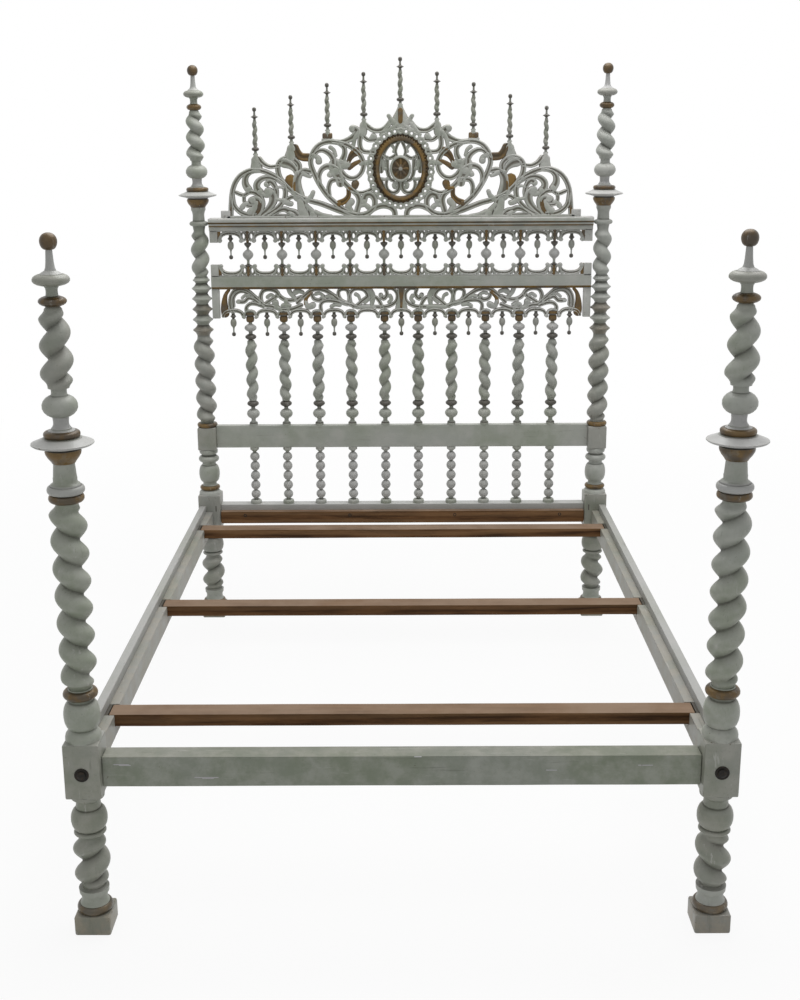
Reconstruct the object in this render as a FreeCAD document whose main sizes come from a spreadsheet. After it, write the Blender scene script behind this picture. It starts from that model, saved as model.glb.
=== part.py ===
import FreeCAD, Part
import math
import os
import Sketcher
from FreeCAD import Placement, Rotation, Vector

# Spindle bed: four twisted posts, a pierced headboard, rabbeted side rails and lift-out slats.
# X runs across the bed, Y from foot to head, Z up. The origin is on the floor under the middle.

doc = FreeCAD.newDocument("spindle_bed")

SIZES = [
    ("post_spacing", 1400, "across the bed, post centre to post centre"),
    ("bed_length", 1990, "along the bed, post centre to post centre"),
    ("block_side", 80, "square bed block of a post"),
    ("block_low", 340, "underside of the bed block above the floor"),
    ("block_height", 130, "height of the bed block"),
    ("base_side", 82, "square foot of a post"),
    ("base_height", 48, "height of that foot"),
    ("lobe_radius", 39, "outside of the twist on a post"),
    ("head_lobe_radius", 36, "outside of the twist on a head post above its block"),
    ("ball_radius", 40, "turned balls of the posts"),
    ("ring_radius", 38, "turned rings of the posts"),
    ("waist_radius", 24, "necks between the turned rings"),
    ("twist_pitch", 61.5, "rise of one turn on a post"),
    ("foot_neck_top", 1096, "top of a foot post under its wide collar"),
    ("head_neck_top", 1494, "top of a head post under its wide collar"),
    ("neck_radius", 22, "post just under the collar"),
    ("collar_height", 72, "wide collar with its two rings"),
    ("disc_radius", 65, "thin disc of the collar"),
    ("dowel_radius", 10, "dowel that joins the upper turning to the post"),
    ("dowel_depth", 40, "dowel's reach into the post under the collar"),
    ("foot_upper_height", 294, "upper turning of a foot post"),
    ("head_upper_height", 292, "upper turning of a head post"),
    ("foot_bead_radius", 38, "flat bead under the foot finial"),
    ("head_bead_radius", 34, "flat bead under the head finial"),
    ("finial_height", 108, "ball finial of a post"),
    ("finial_ball", 18, "radius of its ball"),
    ("screw_radius", 6, "wooden screw under the finial"),
    ("screw_length", 25, "length of that screw"),
    ("wide_block_side", 66, "square block that holds the wide rail"),
    ("rail_top", 432, "top of the bed rails above the floor"),
    ("rail_height", 80, "height of a side rail"),
    ("rail_thickness", 48, "thickness of a side rail"),
    ("rail_inset", 5, "side rail behind the outer face of the block"),
    ("lip_width", 23, "outer lip that keeps the mattress in"),
    ("rabbet_depth", 22, "ledge for the slats below the top of the lip"),
    ("foot_rail_height", 72, "height of the foot rail"),
    ("foot_rail_thickness", 50, "thickness of the foot rail"),
    ("foot_rail_inset", 22, "foot rail behind the front face of the block"),
    ("head_rail_height", 66, "height of the head rail"),
    ("head_rail_thickness", 44, "thickness of the head rail"),
    ("tenon_length", 30, "tenons of the foot and head rails"),
    ("tenon_thickness", 16, "thickness of every tenon"),
    ("tenon_margin", 12, "shoulder above and below a tenon"),
    ("board_tenon", 24, "tenons of the headboard rails"),
    ("slat_width", 60, "width of a cross slat"),
    ("slat_thickness", 32, "thickness of a cross slat"),
    ("slat_bearing", 16, "slat end that lies in the notch"),
    ("slat_play", 1, "play around a slat end"),
    ("slat_foot_place", 275, "foot slat behind the foot posts' centres"),
    ("slat_mid_place", 13, "middle slat behind the middle of the bed"),
    ("slat_head_place", 233, "head slat in front of the head posts' centres"),
    ("cleat_height", 44, "bare cleat on the head rail"),
    ("cleat_thickness", 26, "thickness of the cleat"),
    ("cleat_drop", 20, "cleat below the top of the head rail"),
    ("cleat_screw", 3, "shank radius of a cleat screw"),
    ("cleat_screw_head", 6, "head radius of a cleat screw"),
    ("bolt_radius", 5, "shank of a bed bolt"),
    ("bolt_clearance", 0.5, "bore around a bed bolt"),
    ("bolt_head", 15.5, "radius of the round bolt head"),
    ("bolt_height", 400, "bed bolts above the floor"),
    ("bolt_reach", 62, "bolt inside the rail's end"),
    ("nut_side", 16, "square nut of a bed bolt"),
    ("nut_thickness", 9, "thickness of that nut"),
    ("wide_rail_low", 643, "underside of the wide rail"),
    ("wide_rail_height", 81, "height of the wide rail"),
    ("wide_rail_thickness", 26, "thickness of the wide rail"),
    ("mid_rail_low", 1216, "underside of the arcade rail"),
    ("mid_rail_height", 40, "height of the arcade rail"),
    ("mid_rail_thickness", 30, "thickness of the arcade rail"),
    ("top_rail_low", 1416, "underside of the top rail"),
    ("top_rail_height", 42, "height of the top rail"),
    ("top_rail_thickness", 36, "thickness of the top rail"),
    ("cornice_depth", 24, "moulding in front of the top rail"),
    ("shoulder_gap", 0.5, "headboard rail to the turned post"),
    ("bay", 118.5, "one arch of the arcade"),
    ("bay_count", 11, "arches of the arcade"),
    ("arch_width", 47, "half width of an arch"),
    ("stem_play", 2.4, "how far a carved stem's side may stray from its curve"),
    ("arch_band", 8, "width of an arch's sawn band"),
    ("arch_rise", 8, "drop from an arcade's edge to the top of an arch's band"),
    ("valance_band", 14, "height of the band that carries the valance's arches"),
    ("crest_half", 622, "half the length of the crest board's foot"),
    ("spindle_crown", 102, "rings, cup and peg above a spindle's twist"),
    ("arch_drop", 31, "arch curls below their rail"),
    ("board_thickness", 18, "arcades and pierced valance"),
    ("valance_height", 70, "pierced valance down to its arches"),
    ("crest_thickness", 22, "pierced crest"),
    ("crest_bar", 7, "solid strip along the foot of the crest"),
    ("medallion_height", 164, "middle of the oval above the crest's foot"),
    ("oval_across", 85, "half width of the gilt oval ring"),
    ("oval_up", 108, "half height of the gilt oval ring"),
    ("oval_band", 12, "width of the gilt oval ring"),
    ("border_band", 20, "beaded border around the oval ring"),
    ("ring_thickness", 34, "thickness of the gilt oval ring"),
    ("boss_across", 37, "half width of the central boss"),
    ("boss_up", 45, "half height of the central boss"),
    ("boss_thickness", 9, "boss in front of its panel"),
    ("panel_thickness", 14, "pierced panel inside the ring"),
    ("spindle_radius", 22, "widest turning of a spindle"),
    ("spindle_waist", 8, "necks of a spindle"),
    ("spindle_pitch", 52, "rise of one turn on a spindle"),
    ("bead_radius", 16.8, "beads of the lower spindles"),
    ("pendant_radius", 11, "body of a turned drop"),
    ("drop_length", 88, "turned drop from its cap to its ball"),
    ("connector_radius", 18, "ball of an arcade baluster"),
    ("finial_spacing", 124, "twisted finials along the crest"),
    ("crest_finial_height", 157, "height of a twisted crest finial"),
    ("crest_finial_radius", 11, "widest turning of a crest finial"),
    ("post_sides", 6, "facets round a twist on a post"),
    ("post_steps", 4, "sections in one turn of a post's twist"),
    ("small_sides", 5, "facets round a twist on a spindle"),
    ("small_steps", 3, "sections in one turn of a spindle's twist"),
    ("round_sides", 12, "facets round collars, finials, dowels and bolts"),
    ("oval_sides", 24, "facets round the oval ring"),
]

sheet = doc.addObject("Spreadsheet::Sheet", "sizes")
for row, (alias, number, note) in enumerate(SIZES, start=1):
    sheet.set("A%d" % row, note)
    sheet.set("B%d" % row, str(number))
    sheet.setAlias("B%d" % row, alias)
doc.recompute()


def size(alias):
    return float(sheet.get(alias))


def bound(expression):
    # an expression as another object writes it, with the sheet's name before each alias
    text = ""
    word = ""
    for letter in expression + " ":
        if letter.isalnum() or letter in "_.":
            word += letter
            continue
        if word and not word[0].isdigit():
            word = "sizes." + word
        text += word + letter
        word = ""
    return text.strip()


worked_out = doc.addObject("Spreadsheet::Sheet", "worked_out")


def value(expression):
    # lets a second sheet work an expression out
    worked_out.set("A1", "=" + bound(expression))
    worked_out.recompute()
    return float(worked_out.get("A1"))


subparts = []


def keep(feature, label):
    feature.Label = label
    subparts.append(feature)
    return feature


def place(feature, x="0", y="0", z="0"):
    for axis, expression in (("x", x), ("y", y), ("z", z)):
        feature.setExpression("Placement.Base." + axis, bound(expression))


# Where the posts and the headboard stand
HALF_ACROSS = size("post_spacing") / 2
FOOT_Y = -size("bed_length") / 2
HEAD_Y = size("bed_length") / 2
TOP_RAIL_TOP = size("top_rail_low") + size("top_rail_height")
MID_RAIL_TOP = size("mid_rail_low") + size("mid_rail_height")
WIDE_RAIL_TOP = size("wide_rail_low") + size("wide_rail_height")
BLOCK_TOP = size("block_low") + size("block_height")
SHOULDER = HALF_ACROSS - size("head_lobe_radius") - size("shoulder_gap")


# ---------------------------------------------------------------- sketches for the sawn pieces
def origin_plane(body, role):
    return next(part for part in body.Origin.OriginFeatures if part.Role == role)


def outline(body, name, plane, corners, raised=None):
    # a closed outline whose corners are expressions of the sheet, measured from the body's origin
    sketch = body.newObject("Sketcher::SketchObject", name)
    sketch.AttachmentSupport = [(origin_plane(body, plane), "")]
    sketch.MapMode = "FlatFace"
    if raised:
        sketch.setExpression("AttachmentOffset.Base.z", bound(raised))
    points = [Vector(value(x), value(y), 0) for x, y in corners]
    count = len(points)
    for index in range(count):
        sketch.addGeometry(Part.LineSegment(points[index], points[(index + 1) % count]))
    for index in range(count):
        sketch.addConstraint(Sketcher.Constraint("Coincident", index, 2, (index + 1) % count, 1))
    for index, (x, y) in enumerate(corners):
        for kind, text, axis, number in (("DistanceX", x, -2, points[index].x),
                                         ("DistanceY", y, -1, points[index].y)):
            if abs(number) < 1e-9:
                sketch.addConstraint(Sketcher.Constraint("PointOnObject", index, 1, axis))
                continue
            place_in_sketch = sketch.addConstraint(
                Sketcher.Constraint(kind, -1, 1, index, 1, number))
            word = "%s_%d" % (kind, index)
            sketch.renameConstraint(place_in_sketch, word)
            sketch.setExpression("Constraints." + word, bound(text))
    return sketch


def rectangle(x_low, y_low, x_high, y_high):
    return [(x_low, y_low), (x_high, y_low), (x_high, y_high), (x_low, y_high)]


def pad(body, name, sketch, length):
    feature = body.newObject("PartDesign::Pad", name)
    feature.Profile = sketch
    feature.setExpression("Length", bound(length))
    doc.recompute()
    return feature


def pocket(body, name, sketch, length, reverse):
    before = body.Shape.Volume
    feature = body.newObject("PartDesign::Pocket", name)
    feature.Profile = sketch
    feature.setExpression("Length", bound(length))
    feature.Reversed = reverse
    doc.recompute()
    if body.Shape.Volume >= before:
        raise RuntimeError(body.Label + ": " + name + " cuts nothing")
    return feature


def new_body(label):
    return keep(doc.addObject("PartDesign::Body", label), label)


# ---------------------------------------------------------------- turned and twisted pieces
class Turning:
    # A piece from the lathe as a stack of sections, built upwards. A twist is made of sections
    # that are smaller than its lobe and walk round the axis as they rise, which leaves one
    # rope-like lobe per turn. Sections keep their direction, so every side between two is flat.
    lobe_share = 0.24
    run_in = 2

    def __init__(self, bottom, radius, sides):
        self.sides = sides
        self.top = bottom
        self.edge = radius
        self.sections = []
        self.add(radius)

    def add(self, radius, across=0.0, along=0.0, level=None):
        # corners lie a little outside the true circle, so that the flat sides enclose its area
        corner = radius * math.sqrt(2 * math.pi / self.sides / math.sin(2 * math.pi / self.sides))
        level = self.top if level is None else level
        turns = [math.pi * (0.5 + 2 * side / self.sides) for side in range(self.sides)]
        self.sections.append([Vector(across + corner * math.cos(turn),
                                     along + corner * math.sin(turn), level) for turn in turns])

    def step(self, height, radius):
        self.top += height
        self.edge = radius
        self.add(radius)
        return self

    def up_to(self, level, radius):
        return self.step(level - self.top, radius)

    def bulge(self, height, radius, cuts=3):
        # a round stretch that starts and ends at the radius reached so far
        start = self.top
        waist = self.edge
        for cut in range(1, cuts + 1):
            turn = math.pi * cut / cuts
            self.up_to(start + height * (1 - math.cos(turn)) / 2,
                       waist + (radius - waist) * math.sin(turn))
        return self

    def ring(self, height, radius, waist):
        self.step(height * 0.3, radius).step(height * 0.4, radius)
        return self.step(height * 0.3, waist)

    def ball(self, height, radius, waist):
        return self.bulge(height - 2, radius).step(2, waist)

    def cone(self, height, radius, waist):
        return self.step(height / 2, radius).step(height / 2, waist)

    def twist(self, height, pitch, low_radius, high_radius, hand, steps):
        count = max(2, round(height / pitch * steps))
        for index in range(count + 1):
            share = index / count
            lobe = low_radius + (high_radius - low_radius) * share
            turn = hand * 2 * math.pi * share * height / pitch
            offset = lobe * self.lobe_share
            level = self.top + self.run_in + (height - 2 * self.run_in) * share
            self.add(lobe - offset, offset * math.cos(turn), offset * math.sin(turn), level)
        self.top += height
        return self

    def solid(self):
        # sides between neighbouring sections, closed by the first and the last section
        outlines = [self.sections[0][::-1], self.sections[-1]]
        for low, high in zip(self.sections, self.sections[1:]):
            for side in range(self.sides):
                after = (side + 1) % self.sides
                outlines.append([low[side], low[after], high[after], high[side]])
        faces = [Part.Face(Part.makePolygon(corners + corners[:1])) for corners in outlines]
        shell = Part.makeShell(faces)
        shell.sewShape()
        return Part.makeSolid(shell)


POST_SIDES = int(size("post_sides"))
POST_STEPS = int(size("post_steps"))
SMALL_SIDES = int(size("small_sides"))
SMALL_STEPS = int(size("small_steps"))
ROUND_SIDES = int(size("round_sides"))
SLASH = 1
BACKSLASH = -1


def block(side, low, high, x=0.0, y=0.0, depth=None):
    depth = depth or side
    return Part.makeBox(side, depth, high - low, Vector(x - side / 2, y - depth / 2, low))


def rod(radius, low, height):
    # dowels, screws, bolts and their bores all have the same flats, so that they fit each other
    return Turning(low, radius, ROUND_SIDES).step(height, radius).solid()


def laid(shape, x, y, z, inward=1):
    # a rod or a turned piece laid along the bed, its foot at that point
    shape.rotate(Vector(0, 0, 0), Vector(1, 0, 0), -90 * inward)
    shape.translate(Vector(x, y, z))
    return shape


def leg(hand):
    # foot, ring, collar, two turns of twist, bead, ball and the shoulder under the bed block
    waist = size("waist_radius")
    lobe = size("lobe_radius")
    turned = Turning(size("base_height"), size("ring_radius") - 4, POST_SIDES)
    turned.ring(18, size("ball_radius"), size("ring_radius") - 6)
    turned.step(20, size("ring_radius") - 9).step(18, size("ring_radius") - 5).step(2, waist + 2)
    above = 3 + 14 + 54 + 36
    twist_height = size("block_low") - above - turned.top
    turned.twist(twist_height, size("twist_pitch"), lobe, lobe, hand, POST_STEPS)
    turned.step(3, waist)
    turned.ring(14, size("ring_radius") - 2, waist)
    turned.ball(54, size("ball_radius"), waist + 3)
    turned.step(10, waist + 2)
    turned.up_to(size("block_low"), size("block_side") / 2 - 2)
    foot = block(size("base_side"), 0, size("base_height"))
    return [foot, turned.solid(), block(size("block_side"), size("block_low"), BLOCK_TOP)]


def foot_shaft(hand):
    # ball, ring, long twist, two rings and the hollow neck under the collar
    waist = size("waist_radius")
    ring = size("ring_radius")
    turned = Turning(BLOCK_TOP, size("block_side") / 2 - 2, POST_SIDES)
    turned.step(12, waist + 10).step(8, waist + 3).step(6, waist + 3)
    turned.ball(64, size("ball_radius"), waist + 2)
    turned.step(8, waist).ring(18, ring, waist + 4).step(4, waist)
    above = 6 + 18 + 18 + 15 + 29
    twist_height = size("foot_neck_top") - above - turned.top
    turned.twist(twist_height, size("twist_pitch"), size("lobe_radius"), size("lobe_radius"),
                 hand, POST_STEPS)
    turned.step(6, waist + 4)
    turned.ring(18, ring, waist + 6).ring(18, ring + 1.5, waist + 4)
    turned.step(15, waist)
    turned.up_to(size("foot_neck_top"), size("neck_radius"))
    return turned.solid()


def head_shaft(low_hand, high_hand):
    # low turnings up to the wide rail's block, then two twists with stacked cones between them
    waist = size("waist_radius")
    lobe = size("head_lobe_radius")
    low = Turning(BLOCK_TOP, size("block_side") / 2 - 2, POST_SIDES)
    low.step(10, waist + 4).ring(22, lobe, waist).step(14, waist)
    low.ball(62, lobe + 1, waist).step(12, waist)
    low.ring(22, lobe, waist + 2)
    low.step(8, waist + 2)
    low.up_to(size("wide_rail_low") - 8, lobe - 4)
    wide_block = block(size("wide_block_side"), low.top, low.top + size("wide_rail_height") + 4)
    high = Turning(low.top + size("wide_rail_height") + 4, waist + 6, POST_SIDES)
    high.ring(16, lobe, waist)
    cones = 38 + 38 + 36 + 38 + 36 + 22
    neck = 4 + 14 + 16 + 46
    upper_twist = 158
    twist_height = size("head_neck_top") - neck - upper_twist - cones - 4 - high.top
    high.twist(twist_height, size("twist_pitch"), lobe, lobe, low_hand, POST_STEPS)
    high.step(4, waist - 2)
    for height in (38, 38, 36, 38, 36):
        high.cone(height, lobe - 1, waist - 2)
    high.cone(22, lobe - 6, waist - 2)
    high.twist(upper_twist, size("twist_pitch"), lobe - 4, lobe - 4, high_hand, POST_STEPS)
    high.step(2, waist).step(16, waist + 2)
    high.ring(16, lobe - 3.5, waist - 2)
    high.step(20, waist - 3)
    high.up_to(size("head_neck_top"), size("neck_radius"))
    return [low.solid(), wide_block, high.solid()]


def bolt_bore(y_low, length):
    radius = size("bolt_radius") + size("bolt_clearance")
    return laid(rod(radius, 0, length), 0, y_low, size("bolt_height"))


def cross_mortise(side, low, height, thickness, depth, reach):
    # a mortise in the face of a post that looks across the bed; side is +1 on the left post
    start = reach if side > 0 else -reach - depth
    return Part.makeBox(depth, thickness, height, Vector(start, -thickness / 2, low))


def foot_post(side):
    hand = BACKSLASH if side > 0 else SLASH
    pieces = leg(-hand)
    body = pieces[0].multiFuse(pieces[1:] + [foot_shaft(hand)])
    rail_offset = (-size("block_side") / 2 + size("foot_rail_inset")
                   + size("foot_rail_thickness") / 2)
    mortise = cross_mortise(side, size("rail_top") - size("foot_rail_height") + size("tenon_margin"),
                            size("foot_rail_height") - 2 * size("tenon_margin"),
                            size("tenon_thickness"), size("tenon_length") + 1,
                            size("block_side") / 2 - size("tenon_length"))
    mortise.translate(Vector(0, rail_offset, 0))
    bore = rod(size("dowel_radius"), size("foot_neck_top") - size("dowel_depth"),
               size("dowel_depth") + 1)
    shape = body.cut([mortise, bolt_bore(-size("block_side"), 2 * size("block_side")), bore])
    return shape.removeSplitter()


def head_post(side):
    hand = BACKSLASH if side > 0 else SLASH
    pieces = leg(-hand) + head_shaft(hand, -hand)
    body = pieces[0].multiFuse(pieces[1:])
    half = size("block_side") / 2
    cuts = [bolt_bore(-size("block_side"), 2 * size("block_side"))]
    cuts.append(cross_mortise(side, size("rail_top") - size("head_rail_height") + size("tenon_margin"),
                              size("head_rail_height") - 2 * size("tenon_margin"),
                              size("tenon_thickness"), size("tenon_length") + 1,
                              half - size("tenon_length")))
    reach = size("head_lobe_radius") + size("shoulder_gap") - size("board_tenon")
    for low, height in ((size("wide_rail_low"), size("wide_rail_height")),
                        (size("mid_rail_low"), size("mid_rail_height")),
                        (size("top_rail_low"), size("top_rail_height"))):
        cuts.append(cross_mortise(side, low + size("tenon_margin") / 2,
                                  height - size("tenon_margin"), size("tenon_thickness"),
                                  size("board_tenon") + 6, reach))
    cuts.append(rod(size("dowel_radius"), size("head_neck_top") - size("dowel_depth"),
                    size("dowel_depth") + 1))
    return body.cut(cuts).removeSplitter()


def upper_turning(low, height, low_lobe, high_lobe, hand, small_ring):
    # dowel through the collar, neck, squashed ball, tapering twist and a ring under the finial
    waist = size("neck_radius")
    turned = Turning(low, waist, POST_SIDES)
    turned.step(8, waist - 4)
    turned.ball(52, size("ball_radius") - 3, waist - 3)
    above = 3 + 16 + 32
    turned.twist(height - above - (turned.top - low), size("twist_pitch"), low_lobe, high_lobe,
                 hand, POST_STEPS)
    turned.step(3, waist - 8)
    turned.ring(16, small_ring, waist - 8)
    turned.step(14, waist - 7)
    turned.up_to(low + height, waist - 8)
    dowel = rod(size("dowel_radius"), low - size("collar_height") - size("dowel_depth"),
                size("collar_height") + size("dowel_depth") + 1)
    socket = rod(size("screw_radius"), low + height - size("screw_length"),
                 size("screw_length") + 1)
    return turned.solid().fuse(dowel).cut(socket).removeSplitter()


def feature(label, shape, x=0.0, y=0.0, z=0.0, rotation=None):
    made = doc.addObject("Part::Feature", label)
    made.Shape = shape
    made.Placement = Placement(Vector(x, y, z), rotation or Rotation())
    return keep(made, label)


POSTS = [("foot", "left", 1, FOOT_Y), ("foot", "right", -1, FOOT_Y),
         ("head", "left", 1, HEAD_Y), ("head", "right", -1, HEAD_Y)]
for end, name, side, along in POSTS:
    across = -side * HALF_ACROSS
    if end == "foot":
        feature("foot_post_" + name, foot_post(side), across, along)
        upper = upper_turning(0, size("foot_upper_height"), size("lobe_radius") - 2.5,
                              size("lobe_radius") - 10, SLASH, size("ring_radius") - 9)
        feature("foot_upper_" + name, upper, across, along,
                size("foot_neck_top") + size("collar_height"))
    else:
        feature("head_post_" + name, head_post(side), across, along)
        upper = upper_turning(0, size("head_upper_height"), size("head_lobe_radius") - 2.5,
                              size("head_lobe_radius") - 7, BACKSLASH, size("ring_radius") - 13)
        feature("head_upper_" + name, upper, across, along,
                size("head_neck_top") + size("collar_height"))


# ---------------------------------------------------------------- collars and ball finials
def collar():
    # gilt ring, thin wide disc with a sloping top and a second ring, bored for the dowel
    height = size("collar_height")
    ring = size("ring_radius")
    turned = Turning(0, size("neck_radius") + 2, ROUND_SIDES)
    turned.up_to(height * 0.16, ring - 4).up_to(height * 0.38, ring)
    turned.up_to(height * 0.43, size("neck_radius") + 12)
    turned.up_to(height * 0.54, size("disc_radius") - 3).up_to(height * 0.59, size("disc_radius"))
    turned.up_to(height * 0.74, ring + 1).up_to(height * 0.77, ring - 2)
    turned.up_to(height * 0.87, ring).up_to(height, size("neck_radius") + 4)
    return turned.solid().cut(rod(size("dowel_radius"), 0, height)).removeSplitter()


def ball_finial(bead):
    # flat bead, cone and ball, with a wooden screw under them
    height = size("finial_height")
    ball = size("finial_ball")
    neck = size("screw_radius") + 0.5
    turned = Turning(0, size("neck_radius") - 8, ROUND_SIDES)
    turned.bulge(height * 0.26, bead).up_to(height * 0.33, neck + 5)
    turned.up_to(height - 2 * ball + 1, neck)
    turned.bulge(2 * ball - 3, ball, 5).up_to(height, neck * 0.5)
    screw = rod(size("screw_radius"), -size("screw_length"), size("screw_length"))
    return turned.solid().fuse(screw).removeSplitter()


for end, name, side, along in POSTS:
    across = -side * HALF_ACROSS
    neck_top = size(end + "_neck_top")
    upper_top = neck_top + size("collar_height") + size(end + "_upper_height")
    feature("%s_collar_%s" % (end, name), collar(), across, along, neck_top)
    feature("%s_finial_%s" % (end, name), ball_finial(size(end + "_bead_radius")), across, along,
            upper_top)


# ---------------------------------------------------------------- bed rails, cleat and slats
CLEAR_LENGTH = "bed_length - block_side"
SLAT_PLACES = [("foot", "slat_foot_place"), ("mid", "bed_length/2 + slat_mid_place"),
               ("head", "bed_length - slat_head_place")]


def side_rail(body):
    # an L-shaped rail: its outer lip keeps the mattress in and its ledge has a notch for each slat
    corners = [("0", "0"), ("rail_thickness", "0"), ("rail_thickness", "rail_height"),
               ("rail_thickness - lip_width", "rail_height"),
               ("rail_thickness - lip_width", "rail_height - rabbet_depth"),
               ("0", "rail_height - rabbet_depth")]
    section = outline(body, "rail_section", "XZ_Plane", corners)
    bar = pad(body, "rail_bar", section, CLEAR_LENGTH)
    bar.Reversed = True
    doc.recompute()
    for name, middle in SLAT_PLACES:
        start = middle + " - block_side/2 - slat_width/2 - slat_play"
        end = middle + " - block_side/2 + slat_width/2 + slat_play"
        notch = outline(body, "notch_" + name, "XY_Plane",
                        rectangle("0", start, "slat_bearing + slat_play", end),
                        "rail_height - rabbet_depth")
        pocket(body, "notch_cut_" + name, notch, "slat_thickness", False)
    half = "bolt_radius + bolt_clearance"
    bolt_x = "rail_thickness - block_side/2 + rail_inset"
    for name, start, end in (("foot", "bolt_reach - nut_thickness - 1", "bolt_reach + 1"),
                             ("head", CLEAR_LENGTH + " - bolt_reach - 1",
                              CLEAR_LENGTH + " - bolt_reach + nut_thickness + 1")):
        nut = outline(body, "nut_pocket_" + name, "XY_Plane",
                      rectangle(bolt_x + " - nut_side/2 - 0.5", start,
                                bolt_x + " + nut_side/2 + 0.5", end))
        pocket(body, "nut_cut_" + name, nut,
               "bolt_height - rail_top + rail_height + nut_side/2 + 0.5", True)
    level = "bolt_height - rail_top + rail_height"
    for name, raised, reverse in (("foot", "0", False), ("head", "-bed_length + block_side", True)):
        hole = body.newObject("Sketcher::SketchObject", "bolt_hole_" + name)
        hole.AttachmentSupport = [(origin_plane(body, "XZ_Plane"), "")]
        hole.MapMode = "FlatFace"
        hole.setExpression("AttachmentOffset.Base.z", bound(raised))
        centre = Vector(value(bolt_x), value(level), 0)
        hole.addGeometry(Part.Circle(centre, Vector(0, 0, 1), value(half)))
        for kind, text, number in (("DistanceX", bolt_x, centre.x), ("DistanceY", level, centre.y)):
            hole.addConstraint(Sketcher.Constraint(kind, -1, 1, 0, 3, number))
            hole.renameConstraint(hole.ConstraintCount - 1, "bolt_" + kind)
            hole.setExpression("Constraints.bolt_" + kind, bound(text))
        hole.addConstraint(Sketcher.Constraint("Radius", 0, value(half)))
        hole.renameConstraint(2, "bolt_bore")
        hole.setExpression("Constraints.bolt_bore", bound(half))
        pocket(body, "bolt_cut_" + name, hole, "bolt_reach + 12", reverse)


right_rail = new_body("side_rail_right")
side_rail(right_rail)
place(right_rail, "post_spacing/2 + block_side/2 - rail_inset - rail_thickness",
      "-bed_length/2 + block_side/2", "rail_top - rail_height")
left_rail = doc.addObject("Part::Mirroring", "side_rail_left")
left_rail.Source = right_rail
left_rail.Normal = Vector(1, 0, 0)
left_rail.Base = Vector(0, 0, 0)
keep(left_rail, "side_rail_left")


def tenoned_rail(body, half_length, thickness, height, tenon, margin):
    # a bar with a centred tenon at each end; its origin is at the middle of its underside
    section = outline(body, "bar_plan", "XY_Plane",
                      rectangle("-(%s)" % half_length, "-(%s)/2" % thickness, half_length,
                                "(%s)/2" % thickness))
    pad(body, "bar", section, height)
    reach = "(%s) + %s" % (half_length, tenon)
    tongue = outline(body, "tenon_plan", "XY_Plane",
                     rectangle("-(%s)" % reach, "-tenon_thickness/2", reach, "tenon_thickness/2"),
                     margin)
    pad(body, "tenons", tongue, "%s - 2*(%s)" % (height, margin))


BLOCK_CLEAR = "post_spacing/2 - block_side/2"
foot_rail = new_body("foot_rail")
tenoned_rail(foot_rail, BLOCK_CLEAR, "foot_rail_thickness", "foot_rail_height", "tenon_length",
             "tenon_margin")
place(foot_rail, "0", "-bed_length/2 - block_side/2 + foot_rail_inset + foot_rail_thickness/2",
      "rail_top - foot_rail_height")
head_bar = doc.addObject("PartDesign::Body", "head_rail_before_boring")
tenoned_rail(head_bar, BLOCK_CLEAR, "head_rail_thickness", "head_rail_height", "tenon_length",
             "tenon_margin")
place(head_bar, "0", "bed_length/2", "rail_top - head_rail_height")

cleat = doc.addObject("Part::Box", "cleat_bar")
cleat.setExpression("Length", "sizes.post_spacing - sizes.block_side - 2")
cleat.setExpression("Width", "sizes.cleat_thickness")
cleat.setExpression("Height", "sizes.cleat_height")
place(cleat, "-post_spacing/2 + block_side/2 + 1",
      "bed_length/2 - head_rail_thickness/2 - cleat_thickness",
      "rail_top - cleat_drop - cleat_height")
doc.recompute()

SCREW_PLACES = [-570, -190, 190, 570]
SCREW_LEVEL = size("rail_top") - size("cleat_drop") - 14
CLEAT_FRONT = HEAD_Y - size("head_rail_thickness") / 2 - size("cleat_thickness")
SCREW_REACH = size("cleat_thickness") + 18
screws = []
for x in SCREW_PLACES:
    screw = Turning(0, size("cleat_screw_head"), SMALL_SIDES + 1)
    screw.step(3, size("cleat_screw")).step(SCREW_REACH - 3, size("cleat_screw"))
    screws.append(laid(screw.solid(), x, CLEAT_FRONT, SCREW_LEVEL))
feature("cleat_screws", Part.makeCompound(screws))
feature("head_cleat", cleat.Shape.cut(screws))
feature("head_rail", head_bar.Shape.cut(screws))

for name, middle in SLAT_PLACES:
    slat = new_body("slat_" + name)
    reach = "post_spacing/2 + block_side/2 - rail_inset - rail_thickness + slat_bearing"
    plan = outline(slat, "slat_plan", "XY_Plane",
                   rectangle("-(%s)" % reach, "-slat_width/2", reach, "slat_width/2"))
    pad(slat, "slat_board", plan, "slat_thickness")
    place(slat, "0", "-bed_length/2 + " + middle, "rail_top - rabbet_depth - slat_thickness")


# ---------------------------------------------------------------- bed bolts and their nuts
def bed_bolt(x, face, inward):
    # round iron head on the post's outer face, shank through the block into the rail's end
    head = size("bolt_head")
    bolt = Turning(-8, head * 0.4, ROUND_SIDES)
    bolt.step(5, head - 3).step(0, head).step(3, head).step(0, size("bolt_radius"))
    bolt.step(size("block_side") + size("bolt_reach"), size("bolt_radius"))
    return laid(bolt.solid(), x, face, size("bolt_height"), inward)


def bolt_nut(x, face, inward):
    middle = face + inward * (size("block_side") + size("bolt_reach") - size("nut_thickness") / 2)
    nut = block(size("nut_side"), size("bolt_height") - size("nut_side") / 2,
                size("bolt_height") + size("nut_side") / 2, x, middle, size("nut_thickness"))
    shank = rod(size("bolt_radius"), -2 * size("nut_thickness"), 4 * size("nut_thickness"))
    return nut.cut(laid(shank, x, middle, size("bolt_height")))


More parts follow.
